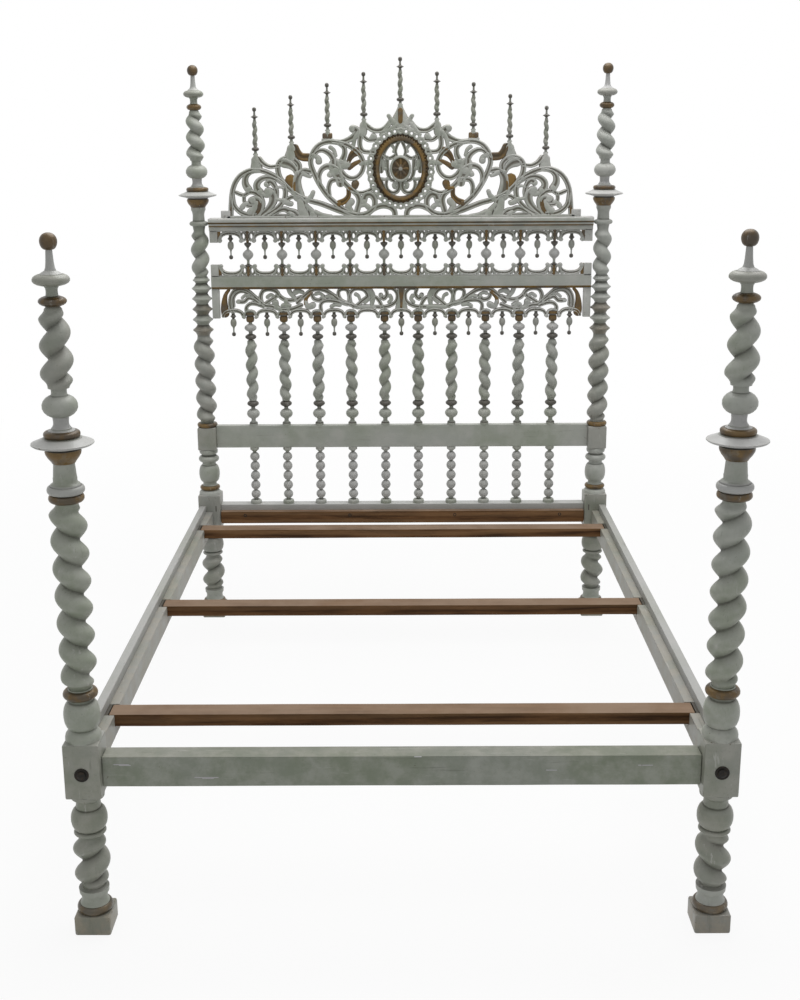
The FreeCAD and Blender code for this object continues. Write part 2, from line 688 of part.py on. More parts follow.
ENDS = [(FOOT_Y - size("block_side") / 2, 1), (HEAD_Y + size("block_side") / 2, -1)]
bolts = [bed_bolt(x, face, inward) for x in (-HALF_ACROSS, HALF_ACROSS) for face, inward in ENDS]
nuts = [bolt_nut(x, face, inward) for x in (-HALF_ACROSS, HALF_ACROSS) for face, inward in ENDS]
feature("bed_bolts", Part.makeCompound(bolts))
feature("bolt_nuts", Part.makeCompound(nuts))


# ---------------------------------------------------------------- headboard rails
BOARD_CLEAR = "post_spacing/2 - head_lobe_radius - shoulder_gap"
for label, name in (("wide_rail", "wide_rail"), ("arcade_rail", "mid_rail"),
                    ("top_rail", "top_rail")):
    board_rail = new_body(label)
    tenoned_rail(board_rail, BOARD_CLEAR, name + "_thickness", name + "_height", "board_tenon",
                 "tenon_margin/2")
    place(board_rail, "0", "bed_length/2", name + "_low")

cornice = new_body("cornice")
CORNICE_PROFILE = [("0", "0"), ("cornice_depth*0.35", "0"),
                   ("cornice_depth*0.35", "top_rail_height*0.3"),
                   ("cornice_depth*0.6", "top_rail_height*0.4"),
                   ("cornice_depth*0.6", "top_rail_height*0.62"),
                   ("cornice_depth", "top_rail_height*0.8"), ("cornice_depth", "top_rail_height"),
                   ("0", "top_rail_height")]
cornice_section = outline(cornice, "cornice_section", "YZ_Plane", CORNICE_PROFILE)
moulding = pad(cornice, "moulding", cornice_section, "post_spacing - 2*head_lobe_radius - 2")
cornice.Placement = Placement(Vector(0, 0, 0), Rotation(Vector(0, 0, 1), 180))
place(cornice, "post_spacing/2 - head_lobe_radius - 1", "bed_length/2 - top_rail_thickness/2",
      "top_rail_low")


# ---------------------------------------------------------------- flat pierced boards
STEM_PLAY = size("stem_play")


def flat(corners):
    # a flat face that looks up, whichever way round its corners are listed
    closed = corners + corners[:1]
    turn = sum(a.x * b.y - b.x * a.y for a, b in zip(closed, closed[1:]))
    return Part.Face(Part.makePolygon(closed if turn > 0 else closed[::-1]))


def straightened(path, play):
    # the path without those of its inner points that lie within the play of a line past them
    kept = path[:2]
    for point, after in zip(path[2:-2], path[3:-1]):
        (ax, ay), (bx, by), (cx, cy) = kept[-1], point, after
        aside = abs((cx - ax) * (by - ay) - (cy - ay) * (bx - ax)) / math.hypot(cx - ax, cy - ay)
        if aside > play:
            kept.append(point)
    return kept + path[max(2, len(path) - 2):]


def stroke(points, start_width, end_width):
    # a carved scroll stem: a curved band whose width runs from one size to the other
    path = straightened(points, STEM_PLAY)
    left = []
    right = []
    last = len(path) - 1
    for index, (x, y) in enumerate(path):
        before = path[max(index - 1, 0)]
        after = path[min(index + 1, last)]
        run = math.hypot(after[0] - before[0], after[1] - before[1])
        across = (-(after[1] - before[1]) / run, (after[0] - before[0]) / run)
        half = (start_width + (end_width - start_width) * index / last) / 2
        left.append(Vector(x + across[0] * half, y + across[1] * half, 0))
        right.append(Vector(x - across[0] * half, y - across[1] * half, 0))
    return flat(left + right[::-1])


def panel(x_low, y_low, x_high, y_high):
    return flat([Vector(x_low, y_low, 0), Vector(x_high, y_low, 0), Vector(x_high, y_high, 0),
                 Vector(x_low, y_high, 0)])


def oval(across, up, x=0.0, y=0.0, sides=None):
    sides = sides or int(size("oval_sides"))
    return flat([Vector(x + across * math.cos(2 * math.pi * k / sides),
                        y + up * math.sin(2 * math.pi * k / sides), 0) for k in range(sides)])


def both_sides(strokes):
    faces = []
    for points, start_width, end_width in strokes:
        faces.append(stroke(points, start_width, end_width))
        faces.append(stroke([(-x, y) for x, y in points], start_width, end_width))
    return faces


def board(faces, thickness, holes=(), below=None):
    # the union of flat faces as a sawn board, less its holes and whatever rises over its top edge
    joined = faces[0].multiFuse(faces[1:])
    if below is not None:
        box = joined.BoundBox
        joined = joined.common(panel(box.XMin, box.YMin, box.XMax, below))
    if holes:
        joined = joined.cut(list(holes))
    sawn = Part.makeShell(joined.Faces).removeSplitter()
    return sawn.extrude(Vector(0, 0, thickness))


STANDING = Rotation(Vector(1, 0, 0), 90)


def stand(label, shape, thickness, level, forward=0.0):
    # boards are drawn flat and stood up in the middle of the headboard
    if len(shape.Solids) != 1:
        raise RuntimeError("%s has %d separate pieces" % (label, len(shape.Solids)))
    return feature(label, shape.Solids[0], 0, HEAD_Y + thickness / 2 - forward, level, STANDING)


# Scroll stems of the crest's left half: points across from the middle and up from the crest's
# foot, then the width of the stem at its first and last point.
CREST_STEMS = [
    ([(-588, 3), (-585, 52), (-578, 97), (-563, 129), (-541, 150), (-512, 161), (-482, 160),
      (-453, 151), (-427, 137), (-403, 118), (-379, 94), (-352, 74), (-311, 57), (-278, 48),
      (-246, 36), (-210, 22), (-176, 13), (-143, 8), (-116, 13), (-97, 27), (-75, 37), (-54, 39),
      (-34, 33), (-22, 20), (-20, 3)], 11, 13),
    ([(-523, 95), (-534, 114), (-533, 135), (-519, 151), (-495, 158)], 16, 9),
    ([(-495, 84), (-495, 101), (-493, 118), (-477, 132), (-453, 136), (-427, 128), (-401, 112)],
     16, 10),
    ([(-580, 75), (-575, 43), (-558, 22), (-534, 11), (-506, 8)], 11, 12),
    ([(-572, 86), (-541, 77), (-521, 87), (-499, 84), (-482, 67), (-478, 43), (-493, 12)], 10, 14),
    ([(-455, 88), (-440, 75), (-442, 52), (-460, 28), (-484, 8)], 22, 12),
    ([(-460, 114), (-449, 122), (-436, 112), (-427, 88), (-429, 60)], 14, 10),
    ([(-401, 109), (-397, 88), (-401, 64), (-416, 43), (-438, 24), (-466, 7)], 13, 12),
    ([(-398, 56), (-377, 70), (-352, 68), (-333, 52), (-328, 28), (-335, 5)], 11, 12),
    ([(-455, 5), (-427, 22), (-403, 29), (-385, 22), (-368, 17), (-357, 8)], 9, 16),
    ([(-496, 213), (-496, 193), (-491, 160)], 12, 26),
    ([(-484, 199), (-469, 182), (-447, 172), (-418, 176)], 12, 9),
    ([(-401, 117), (-414, 135), (-421, 159), (-419, 180), (-405, 196), (-383, 202), (-363, 195),
      (-348, 178), (-350, 157)], 12, 12),
    ([(-372, 252), (-372, 234), (-378, 202)], 12, 26),
    ([(-370, 236), (-352, 217), (-339, 204), (-304, 202)], 14, 14),
    ([(-352, 70), (-358, 97), (-358, 124), (-348, 146), (-331, 159), (-308, 158)], 22, 11),
    ([(-157, 9), (-191, 24), (-222, 46), (-254, 76), (-280, 114), (-299, 154), (-308, 187),
      (-299, 220), (-278, 244), (-249, 254), (-217, 252), (-184, 244), (-155, 227), (-136, 206),
      (-127, 180), (-133, 154), (-150, 136), (-172, 132), (-191, 142), (-210, 159)], 12, 14),
    ([(-217, 252), (-193, 234), (-192, 211), (-205, 180)], 11, 14),
    ([(-304, 199), (-287, 220), (-266, 226), (-244, 215), (-232, 199), (-222, 170)], 10, 14),
    ([(-279, 115), (-280, 142), (-270, 163), (-251, 173), (-229, 168), (-210, 156)], 11, 16),
    ([(-222, 175), (-217, 154), (-208, 130), (-205, 118)], 26, 20),
    ([(-246, 70), (-248, 102), (-239, 123), (-222, 128), (-205, 126)], 11, 12),
    ([(-205, 133), (-189, 112), (-167, 93), (-148, 74), (-143, 53), (-152, 9)], 13, 14),
    ([(-148, 60), (-121, 74), (-104, 77), (-91, 62), (-91, 39), (-104, 20), (-126, 8)], 14, 11),
    ([(-180, 100), (-143, 83), (-114, 88), (-85, 96)], 9, 12),
    ([(-134, 182), (-118, 184), (-96, 184)], 12, 14),
    ([(-248, 291), (-248, 275), (-251, 248)], 12, 40),
    ([(-124, 326), (-124, 310), (-129, 286)], 12, 22),
    ([(-125, 306), (-95, 293), (-70, 291), (-51, 300), (-30, 322)], 12, 13),
    ([(-131, 297), (-138, 263), (-138, 239), (-126, 222), (-84, 218)], 13, 11),
    ([(-131, 294), (-127, 274), (-111, 260), (-92, 259), (-62, 262)], 10, 10),
    ([(-162, 297), (-148, 291), (-152, 277), (-172, 263), (-201, 254), (-229, 256)], 18, 11),
    ([(-140, 288), (-155, 267), (-163, 236)], 12, 10),
    ([(-37, 322), (-29, 312), (-15, 290)], 18, 14),
]
centre_pedestal = stroke([(0, 374), (0, 340), (0, 268)], 12, 58)
# Seats of the finials above the crest's foot, from the middle one outwards
CREST_SEATS = [374, 326, 291, 252, 213]
opening = oval(size("oval_across"), size("oval_up"), 0, size("medallion_height"))
border = oval(size("oval_across") + size("border_band"), size("oval_up") + size("border_band"),
              0, size("medallion_height"))
CREST_HALF = size("crest_half")
crest_faces = both_sides(CREST_STEMS) + [
    centre_pedestal, border,
    panel(-CREST_HALF + 20, 0, CREST_HALF - 20, size("crest_bar")),
    panel(-CREST_HALF, 0, -CREST_HALF + 34, 26), panel(CREST_HALF - 34, 0, CREST_HALF, 26)]
crest = board(crest_faces, size("crest_thickness"), [opening])
stand("crest_board", crest, size("crest_thickness"), TOP_RAIL_TOP)

inner = oval(size("oval_across") - size("oval_band"), size("oval_up") - size("oval_band"),
             0, size("medallion_height"))
oval_ring = opening.cut(inner).extrude(Vector(0, 0, size("ring_thickness")))
stand("medallion_ring", oval_ring, size("ring_thickness"), TOP_RAIL_TOP)
petals = []
for index in range(8):
    turn = math.pi / 8 + index * math.pi / 4
    petals.append(oval(11, 13, (size("oval_across") + size("boss_across") - 14) / 2 * math.cos(turn),
                       size("medallion_height")
                       + (size("oval_up") + size("boss_up") - 12) / 2 * math.sin(turn), 8))
pierced = inner.cut(petals).extrude(Vector(0, 0, size("panel_thickness")))
stand("medallion_panel", pierced, size("panel_thickness"), TOP_RAIL_TOP)
boss = oval(size("boss_across"), size("boss_up"), 0, size("medallion_height"), 16)
stand("medallion_boss", boss.extrude(Vector(0, 0, size("boss_thickness"))), size("boss_thickness"),
      TOP_RAIL_TOP, (size("boss_thickness") + size("panel_thickness")) / 2)


# ---------------------------------------------------------------- arcades and valance
BAY = size("bay")
BAYS = int(size("bay_count"))
MIDDLES = [(index - (BAYS - 1) / 2) * BAY for index in range(BAYS)]
FEET = [(index - (BAYS - 2) / 2) * BAY for index in range(BAYS - 1)]
BOARD_HALF = SHOULDER
ARCH = size("arch_width")
DROP = size("arch_drop")
END_BLOCK = BOARD_HALF - (MIDDLES[-1] + ARCH)
ARCH_BAND = size("arch_band")
ARCH_RISE = size("arch_rise")


def arch_faces(middle, width, drop, flip):
    # one scalloped arch with a curl at each foot, drawn downwards or, for the lower arcade, upwards
    half = [(width - 8, -drop), (width - 1, -drop * 0.72), (width * 0.68, -drop * 0.26), (4, 0),
            (-2, 0)]
    faces = []
    for side in (1, -1):
        path = [(middle + side * x, (y - ARCH_RISE) * flip) for x, y in half]
        faces.append(stroke(path, ARCH_BAND + 1, ARCH_BAND))
    return faces


def end_blocks(low, high):
    return [panel(-BOARD_HALF, low, -BOARD_HALF + END_BLOCK, high),
            panel(BOARD_HALF - END_BLOCK, low, BOARD_HALF, high)]


def arcade(flip):
    # arches side by side under one thin strip, with a small bracket between each two
    strip = 5
    low, high = (-strip, 0) if flip > 0 else (0, strip)
    reach = DROP + ARCH_RISE + 1
    faces = [panel(-BOARD_HALF, low, BOARD_HALF, high)]
    faces += end_blocks(-reach, 0) if flip > 0 else end_blocks(0, reach - 4)
    for middle in MIDDLES:
        faces += arch_faces(middle, ARCH, DROP, flip)
    for foot in FEET:
        faces.append(stroke([(foot, 0), (foot, -DROP * 0.5 * flip), (foot, -(DROP - 3) * flip)],
                            34, 10))
    return board(faces, size("board_thickness"))


stand("upper_arcade", arcade(1), size("board_thickness"), size("top_rail_low"))
stand("lower_arcade", arcade(-1), size("board_thickness"), MID_RAIL_TOP)

# Scroll stems of the valance's left half, down from the underside of the arcade rail
VALANCE_STEMS = [
    ([(-622, -64), (-625, -34), (-611, -12), (-588, -2), (-563, -2), (-538, -11), (-518, -28),
      (-497, -46), (-479, -61), (-457, -66)], 9, 10),
    ([(-602, -60), (-595, -32), (-579, -15), (-556, -11), (-536, -20), (-518, -36)], 8, 9),
    ([(-545, -88), (-545, -68), (-531, -56), (-511, -54), (-486, -62)], 9, 9),
    ([(-491, -52), (-494, -30), (-484, -10), (-463, -3), (-443, -8), (-432, -23)], 9, 10),
    ([(-473, -58), (-450, -37), (-432, -23), (-418, -37), (-398, -44), (-375, -42), (-339, -27),
      (-316, -10), (-292, -3), (-264, -11), (-237, -28), (-212, -46), (-184, -62)], 9, 10),
    ([(-395, -1), (-389, -19), (-373, -40)], 11, 9),
    ([(-405, -43), (-405, -61), (-400, -76)], 10, 10),
    ([(-336, -30), (-336, -52), (-325, -76)], 9, 14),
    ([(-282, -82), (-284, -62), (-272, -50), (-244, -44), (-214, -48)], 9, 9),
    ([(-204, -54), (-219, -32), (-219, -12), (-204, -2)], 9, 9),
    ([(-177, -62), (-181, -27), (-169, -7), (-149, -1)], 10, 9),
    ([(-129, -4), (-118, -30), (-137, -47), (-159, -67)], 9, 9),
    ([(-112, -4), (-100, -32), (-105, -70)], 13, 10),
    ([(-52, -2), (-30, -4), (-15, -22), (-17, -47), (-35, -62), (-60, -69), (-95, -72)], 8, 10),
    ([(-50, -3), (-50, -25), (-62, -40), (-72, -68)], 8, 9),
]
VALANCE = size("valance_height")
VALANCE_BAND = size("valance_band")
valance_faces = [panel(-BOARD_HALF, -5, BOARD_HALF, 0), panel(-11, -VALANCE - 5, 11, 0)]
valance_faces += end_blocks(-VALANCE - 36, 0)
valance_faces += both_sides(VALANCE_STEMS)
for middle in MIDDLES:
    for face in arch_faces(middle, ARCH - 10, DROP - 5, 1):
        face.translate(Vector(0, -VALANCE, 0))
        valance_faces.append(face)
for foot in FEET:
    valance_faces.append(panel(foot - BAY * 0.38, -VALANCE - VALANCE_BAND, foot + BAY * 0.38,
                               -VALANCE))
sawn_valance = board(valance_faces, size("board_thickness"), below=0)
stand("valance", sawn_valance, size("board_thickness"), size("mid_rail_low"))


# ---------------------------------------------------------------- spindles and balusters
SPINDLE_TOP = size("mid_rail_low") - VALANCE - VALANCE_BAND


def spindle(hand):
    # base ring, ball, ring, four turns of twist, two rings, the gilt cup and a peg into the valance
    waist = size("spindle_waist")
    full = size("spindle_radius")
    turned = Turning(0, full * 0.68, SMALL_SIDES)
    turned.step(8, full * 0.68).step(14, waist)
    turned.bulge(38, full).cone(16, full * 0.9, waist).step(1, waist)
    height = SPINDLE_TOP - WIDE_RAIL_TOP
    turned.twist(height - size("spindle_crown") - turned.top, size("spindle_pitch"), full, full,
                 hand, SMALL_STEPS)
    turned.step(10, waist).cone(14, full * 0.86, waist)
    turned.step(14, waist).cone(16, full, waist)
    turned.step(20, full * 0.5).step(20, full * 0.6).step(1, waist / 2)
    turned.up_to(height, waist / 2)
    return turned.solid()


for index, foot in enumerate(FEET):
    hand = SLASH if index % 2 == 0 else BACKSLASH
    feature("spindle_%02d" % (index + 1), spindle(hand), foot, HEAD_Y, WIDE_RAIL_TOP)


def row(label, make, places, level):
    solids = []
    for x in places:
        solid = make.copy()
        solid.translate(Vector(x, HEAD_Y, level))
        solids.append(solid)
    return feature(label, Part.makeCompound(solids))


def lower_spindle():
    # five beads between a base ring on the head rail and a half ring under the wide rail
    waist = size("spindle_waist")
    bead = size("bead_radius")
    height = size("wide_rail_low") - size("rail_top")
    turned = Turning(0, bead * 1.15, SMALL_SIDES)
    turned.step(6, bead * 1.15).step(5, waist)
    pitch = (height - 11 - 14) / 5
    for count in range(5):
        turned.cone(pitch, bead, waist)
    turned.step(4, bead * 0.93)
    turned.up_to(height, bead * 0.93)
    return turned.solid()


def drop():
    # turned drop, from its pin under the arch down to its little ball
    length = size("drop_length")
    body = size("pendant_radius")
    pin = body * 0.28
    turned = Turning(-length, pin, SMALL_SIDES)
    turned.bulge(length * 0.15, body * 0.64, 3).step(length * 0.08, pin)
    turned.step(length * 0.18, body * 0.86).step(length * 0.12, body).step(length * 0.14, pin)
    turned.cone(length * 0.08, body * 0.75, pin)
    turned.up_to(0, pin)
    return turned.solid()


def baluster(height):
    # arcade baluster: gilt stem, cap, ball and cap
    full = size("connector_radius")
    pin = full * 0.3
    turned = Turning(0, pin, SMALL_SIDES)
    turned.step(height * 0.06, pin).cone(height * 0.08, full * 0.6, pin).step(height * 0.07, pin)
    turned.bulge(height * 0.36, full).step(height * 0.12, pin)
    turned.cone(height * 0.08, full * 0.6, pin)
    turned.up_to(height, pin)
    return turned.solid()


def crest_finial(hand):
    # little twisted finial with a ring below and above and a ball on top
    full = size("crest_finial_radius")
    height = size("crest_finial_height")
    pin = full * 0.35
    turned = Turning(0, full * 0.62, SMALL_SIDES)
    turned.step(height * 0.08, pin).cone(height * 0.07, full * 1.1, pin)
    turned.twist(height * 0.6, height * 0.17, full * 0.85, full * 0.75, hand, SMALL_STEPS)
    turned.step(height * 0.04, pin).cone(height * 0.03, full, pin)
    turned.step(height * 0.08, pin)
    turned.bulge(height - 1 - turned.top, full * 0.62, 3).step(1, pin / 2)
    return turned.solid()


row("lower_spindles", lower_spindle(), FEET, size("rail_top"))
row("upper_drops", drop(), MIDDLES, size("top_rail_low") - ARCH_RISE - ARCH_BAND / 2)
# the valance hangs a drop under every arch but its fifth
row("valance_drops", drop(), MIDDLES[:4] + MIDDLES[5:],
    size("mid_rail_low") - VALANCE - ARCH_RISE - ARCH_BAND / 2)
BRACKET = DROP - 3
CONNECTOR_LOW = MID_RAIL_TOP + BRACKET
CONNECTOR_TOP = size("top_rail_low") - BRACKET
row("arcade_balusters", baluster(CONNECTOR_TOP - CONNECTOR_LOW), FEET, CONNECTOR_LOW)

finials = []
for step, level in enumerate(CREST_SEATS):
    for side in (1, -1) if step else (1,):
        solid = crest_finial(side)
        solid.translate(Vector(-side * step * size("finial_spacing"), HEAD_Y, TOP_RAIL_TOP + level))
        finials.append(solid)
feature("crest_finials", Part.makeCompound(finials))


# ---------------------------------------------------------------- check and write
doc.recompute()
for thing in doc.Objects:
    if "Invalid" in thing.State or "Error" in thing.State:
        raise RuntimeError("%s did not build: %s" % (thing.Label, thing.State))
names = [piece.Label for piece in subparts]
if len(set(names)) != len(names):
    raise RuntimeError("two pieces share a name")
os.makedirs("parts", exist_ok=True)
for piece in subparts:
    shape = piece.Shape
    if shape.isNull() or not shape.isValid():
        raise RuntimeError(piece.Label + " is not a valid solid")
    shape.exportStep("parts/%s.step" % piece.Label)
print("%d pieces written" % len(subparts))
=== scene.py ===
import math

import bmesh
import bpy
from mathutils import Matrix, Vector, noise


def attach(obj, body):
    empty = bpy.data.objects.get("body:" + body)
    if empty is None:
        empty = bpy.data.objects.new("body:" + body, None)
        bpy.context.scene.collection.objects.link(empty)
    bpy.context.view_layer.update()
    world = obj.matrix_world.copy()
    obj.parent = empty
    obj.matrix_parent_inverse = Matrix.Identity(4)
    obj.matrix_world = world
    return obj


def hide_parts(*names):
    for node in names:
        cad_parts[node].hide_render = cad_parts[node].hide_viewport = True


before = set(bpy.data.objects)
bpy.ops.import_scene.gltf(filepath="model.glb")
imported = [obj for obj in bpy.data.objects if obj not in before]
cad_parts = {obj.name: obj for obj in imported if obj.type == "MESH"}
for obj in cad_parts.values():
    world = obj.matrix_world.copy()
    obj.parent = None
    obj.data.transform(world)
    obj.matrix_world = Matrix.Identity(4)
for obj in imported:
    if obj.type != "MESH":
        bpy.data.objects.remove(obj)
noise.seed_set(7)  # the boards wave the same way at every run
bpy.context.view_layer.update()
print("frame loaded")

# coats of the wood: how much gilding, pale paint and darkening, which is dark stain on some parts and painted shade
# in the shade coat; a point's hollow comes as the fourth value
coats = {
    "paint": (0.0, 0.0, 0.0),
    "gilt": (1.0, 0.0, 0.0),
    "oldGilt": (1.0, 0.0, 0.3),
    "pale": (0.0, 1.0, 0.0),
    "halfPale": (0.0, 0.5, 0.0),
    "dark": (0.0, 0.0, 1.0),
    "halfDark": (0.0, 0.0, 0.5),
    "foot": (0.4, 0.0, 0.1),
    "base": (0.8, 0.0, 0.5),
    "shade": (0.08, 0.0, 0.2),
    "stain": (0.4, 0.0, 0.35),
    "ball": (1.0, 0.0, 0.65),
    "tan": (0.22, 0.25, 0.05),
    "brown": (1.0, 0.0, 0.5),
    "rim": (0.6, 0.0, 0.2),
}


def smoothStep(share):
    share = max(0.0, min(1.0, share))
    return share * share * (3 - 2 * share)


def addObject(name, data):
    item = bpy.data.objects.new(name, data)
    bpy.context.scene.collection.objects.link(item)
    return item


skinValues = {"longShare": 0.9, "foldAngle": 0.5, "bevelCuts": 2, "waveScale": 0.004, "waveUp": 0.6}


class Skin:
    # points in millimetres, faces, and the coat of every point, gathered into one mesh
    def __init__(self):
        self.points = []
        self.faces = []
        self.coats = []

    def add(self, point, coat, hollow=0.0):
        self.points.append(point)
        self.coats.append((*coats[coat], hollow))
        return len(self.points) - 1

    def band(self, lower, upper):
        count = len(lower)
        for index in range(count):
            after = (index + 1) % count
            self.faces.append((lower[index], lower[after], upper[after], upper[index]))

    def box(self, low, high, bevel, coat, cuts=1, wave=0.0):
        # bevelled board, cut across its longest side so that it can be slightly uneven
        mesh = bmesh.new()
        bmesh.ops.create_cube(mesh, size=1.0)
        low, high = Vector(low), Vector(high)
        size = high - low
        for vertex in mesh.verts:
            vertex.co = low + Vector((vertex.co[i] + 0.5) * size[i] for i in range(3))
        if cuts > 1:
            axis = max(range(3), key=lambda i: size[i])
            least = size[axis] * skinValues["longShare"]
            long = [edge for edge in mesh.edges if abs((edge.verts[0].co - edge.verts[1].co)[axis]) > least]
            bmesh.ops.subdivide_edges(mesh, edges=long, cuts=cuts - 1)
        sharp = [edge for edge in mesh.edges if edge.calc_face_angle(0) > skinValues["foldAngle"]]
        bmesh.ops.bevel(mesh, geom=sharp, offset=bevel, segments=skinValues["bevelCuts"], profile=0.5,
                        affect="EDGES", clamp_overlap=True)
        start = len(self.points)
        middle = (low + high) / 2
        for vertex in mesh.verts:
            place = vertex.co.copy()
            if wave:
                shift = noise.noise_vector(place * skinValues["waveScale"]) * wave
                shift.z *= skinValues["waveUp"]
                place += Vector(-abs(shift[i]) if place[i] > middle[i] else abs(shift[i]) for i in range(3))
            self.add(tuple(place), coat)
        for face in mesh.faces:
            self.faces.append(tuple(start + vertex.index for vertex in face.verts))
        mesh.free()

    def loft(self, rings):
        # a tube through the rings, closed at both ends
        self.faces.append(tuple(rings[0]))
        for before, after in zip(rings, rings[1:]):
            self.band(before, after)
        self.faces.append(tuple(rings[-1]))

    def make(self, name, material, slot="painted_wood", body="frame", sharp=38, weighted=False):
        # the piece takes the place of the CAD node of its name
        mesh = bpy.data.meshes.new(name)
        mesh.from_pydata([(x / 1000, y / 1000, z / 1000) for x, y, z in self.points], [], self.faces)
        coat = mesh.color_attributes.new("coat", "FLOAT_COLOR", "POINT")
        coat.data.foreach_set("color", [value for four in self.coats for value in four])
        shell = bmesh.new()
        shell.from_mesh(mesh)
        bmesh.ops.recalc_face_normals(shell, faces=shell.faces)
        shell.to_mesh(mesh)
        shell.free()
        mesh.shade_smooth()
        mesh.set_sharp_from_angle(angle=math.radians(sharp))
        piece = addObject(name, mesh)
        mesh.materials.append(material)
        if weighted:
            piece.modifiers.new("normals", "WEIGHTED_NORMAL").keep_sharp = True
        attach(piece, body)
        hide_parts(name)


turningValues = {"beadHollow": 0.8, "discHollow": 1.0, "grooveHollow": 0.75, "fadePitch": 0.36, "neck": 0.6,
                 "coatStep": 0.3, "coveShape": 0.8, "ropeEase": 0.006, "grooveShape": 2.5, "blockBevel": 3.6}


class Turning:
    # a turned stick: each call draws the outside up to a level, so the whole reads from the floor up
    def __init__(self, skin, x, y, level, radius, coat="paint", segments=40, cuts=18):
        self.skin, self.x, self.y = skin, x, y
        self.segments, self.cuts = segments, cuts
        self.last = None
        self.level, self.radius, self.coat = level, radius, coat
        self.ring(level, radius, coat)

    def ring(self, level, radius, coat, shape=None, hollow=0.0):
        # shape gives the radius and the hollow at each turn of a ring that isn't round
        ring = []
        for index in range(self.segments):
            turn = 2 * math.pi * index / self.segments
            reach, depth = shape(turn) if shape else (radius, hollow)
            point = (self.x + reach * math.cos(turn), self.y + reach * math.sin(turn), level)
            ring.append(self.skin.add(point, coat, depth))
        if self.last:
            self.skin.band(self.last, ring)
        self.last = ring
        self.level, self.radius = level, radius

    def change(self, coat):
        if coat != self.coat:
            self.ring(self.level + turningValues["coatStep"], self.radius, coat)
            self.coat = coat

    def line(self, level, radius, coat="paint"):
        self.change(coat)
        self.ring(level, radius, coat)
        return self

    def lines(self, base, coat, *steps):
        # several steps in one coat: how far above the base, and the radius
        for rise, radius in steps:
            self.line(base + rise, radius, coat)
        return self

    def bead(self, level, peak, waist, coat="paint", flat=1.0, cuts=9):
        # half-round roll; a flat above 1 makes its rim sharper, below 1 blunter
        self.change(coat)
        low, start = self.level, self.radius
        for step in range(1, cuts + 1):
            turn = math.pi * step / cuts
            rest = start if turn < math.pi / 2 else waist
            reach = rest + (peak - rest) * math.sin(turn) ** flat
            share = (1 - math.cos(turn)) / 2
            self.ring(low + (level - low) * share, reach, coat,
                      hollow=turningValues["beadHollow"] if step == cuts else 0.0)
        return self

    def disc(self, level, rim, waist, coat="paint", at=0.5):
        # two cones that meet in a thin rim
        self.change(coat)
        low, start = self.level, self.radius
        high = level - low
        for share, reach in ((at * 0.5, start + (rim - start) * 0.36), (at * 0.86, start + (rim - start) * 0.86),
                             (at - 0.05, rim - 0.4), (at + 0.05, rim - 0.4),
                             (at + (1 - at) * 0.16, waist + (rim - waist) * 0.84),
                             (at + (1 - at) * 0.55, waist + (rim - waist) * 0.32), (1.0, waist)):
            self.ring(low + high * share, reach, coat, hollow=turningValues["discHollow"] if share == 1.0 else 0.0)
        return self

    def cove(self, level, radius, waist, coat="paint", cuts=7):
        # hollow neck
        self.change(coat)
        low, start = self.level, self.radius
        for step in range(1, cuts + 1):
            share = step / cuts
            straight = start + (radius - start) * share
            reach = straight - (straight - waist) * math.sin(math.pi * share) ** turningValues["coveShape"]
            self.ring(low + (level - low) * share, reach, coat)
        return self

    def twist(self, level, turns, lobe, endLobe, hand, groove=0.52, phase=0.0, coat="paint"):
        # rope twist with round lobes and a sharp groove, running out at both ends
        self.change(coat)
        low, high = self.level, level - self.level
        pitch, neck = high / turns, turningValues["neck"]
        count = round(turns * self.cuts)
        for step in range(count + 1):
            share = step / count
            fade = smoothStep(min(share, 1 - share) * high / (pitch * turningValues["fadePitch"]))
            envelope = (lobe + (endLobe - lobe) * share) * (neck + (1 - neck) * fade)
            lead = hand * 2 * math.pi * share * turns + phase

            def rope(turn, envelope=envelope, fade=fade, lead=lead):
                lobeShare = min(1.0, math.sqrt(math.cos((turn - lead) / 2) ** 2 + turningValues["ropeEase"]))
                depth = turningValues["grooveHollow"] * fade * (1 - lobeShare) ** turningValues["grooveShape"]
                return envelope * (1 - groove * fade * (1 - lobeShare)), depth

            self.ring(low + high * share, envelope, coat, rope)
        self.radius = endLobe * neck
        return self

    def block(self, level, half):
        # the square part of a post; the turning starts again above it
        self.close()
        low = self.level
        self.skin.box((self.x - half, self.y - half, low), (self.x + half, self.y + half, level),
                      turningValues["blockBevel"], "shade", cuts=4, wave=0.6)
        self.last = None
        self.level = level
        return self

    def restart(self, level, radius, coat="paint"):
        self.coat = coat
        self.last = None
        self.ring(level, radius, coat)
        self.skin.faces.append(tuple(reversed(self.last)))
        return self

    def close(self):
        if self.last:
            self.skin.faces.append(tuple(self.last))
        return self


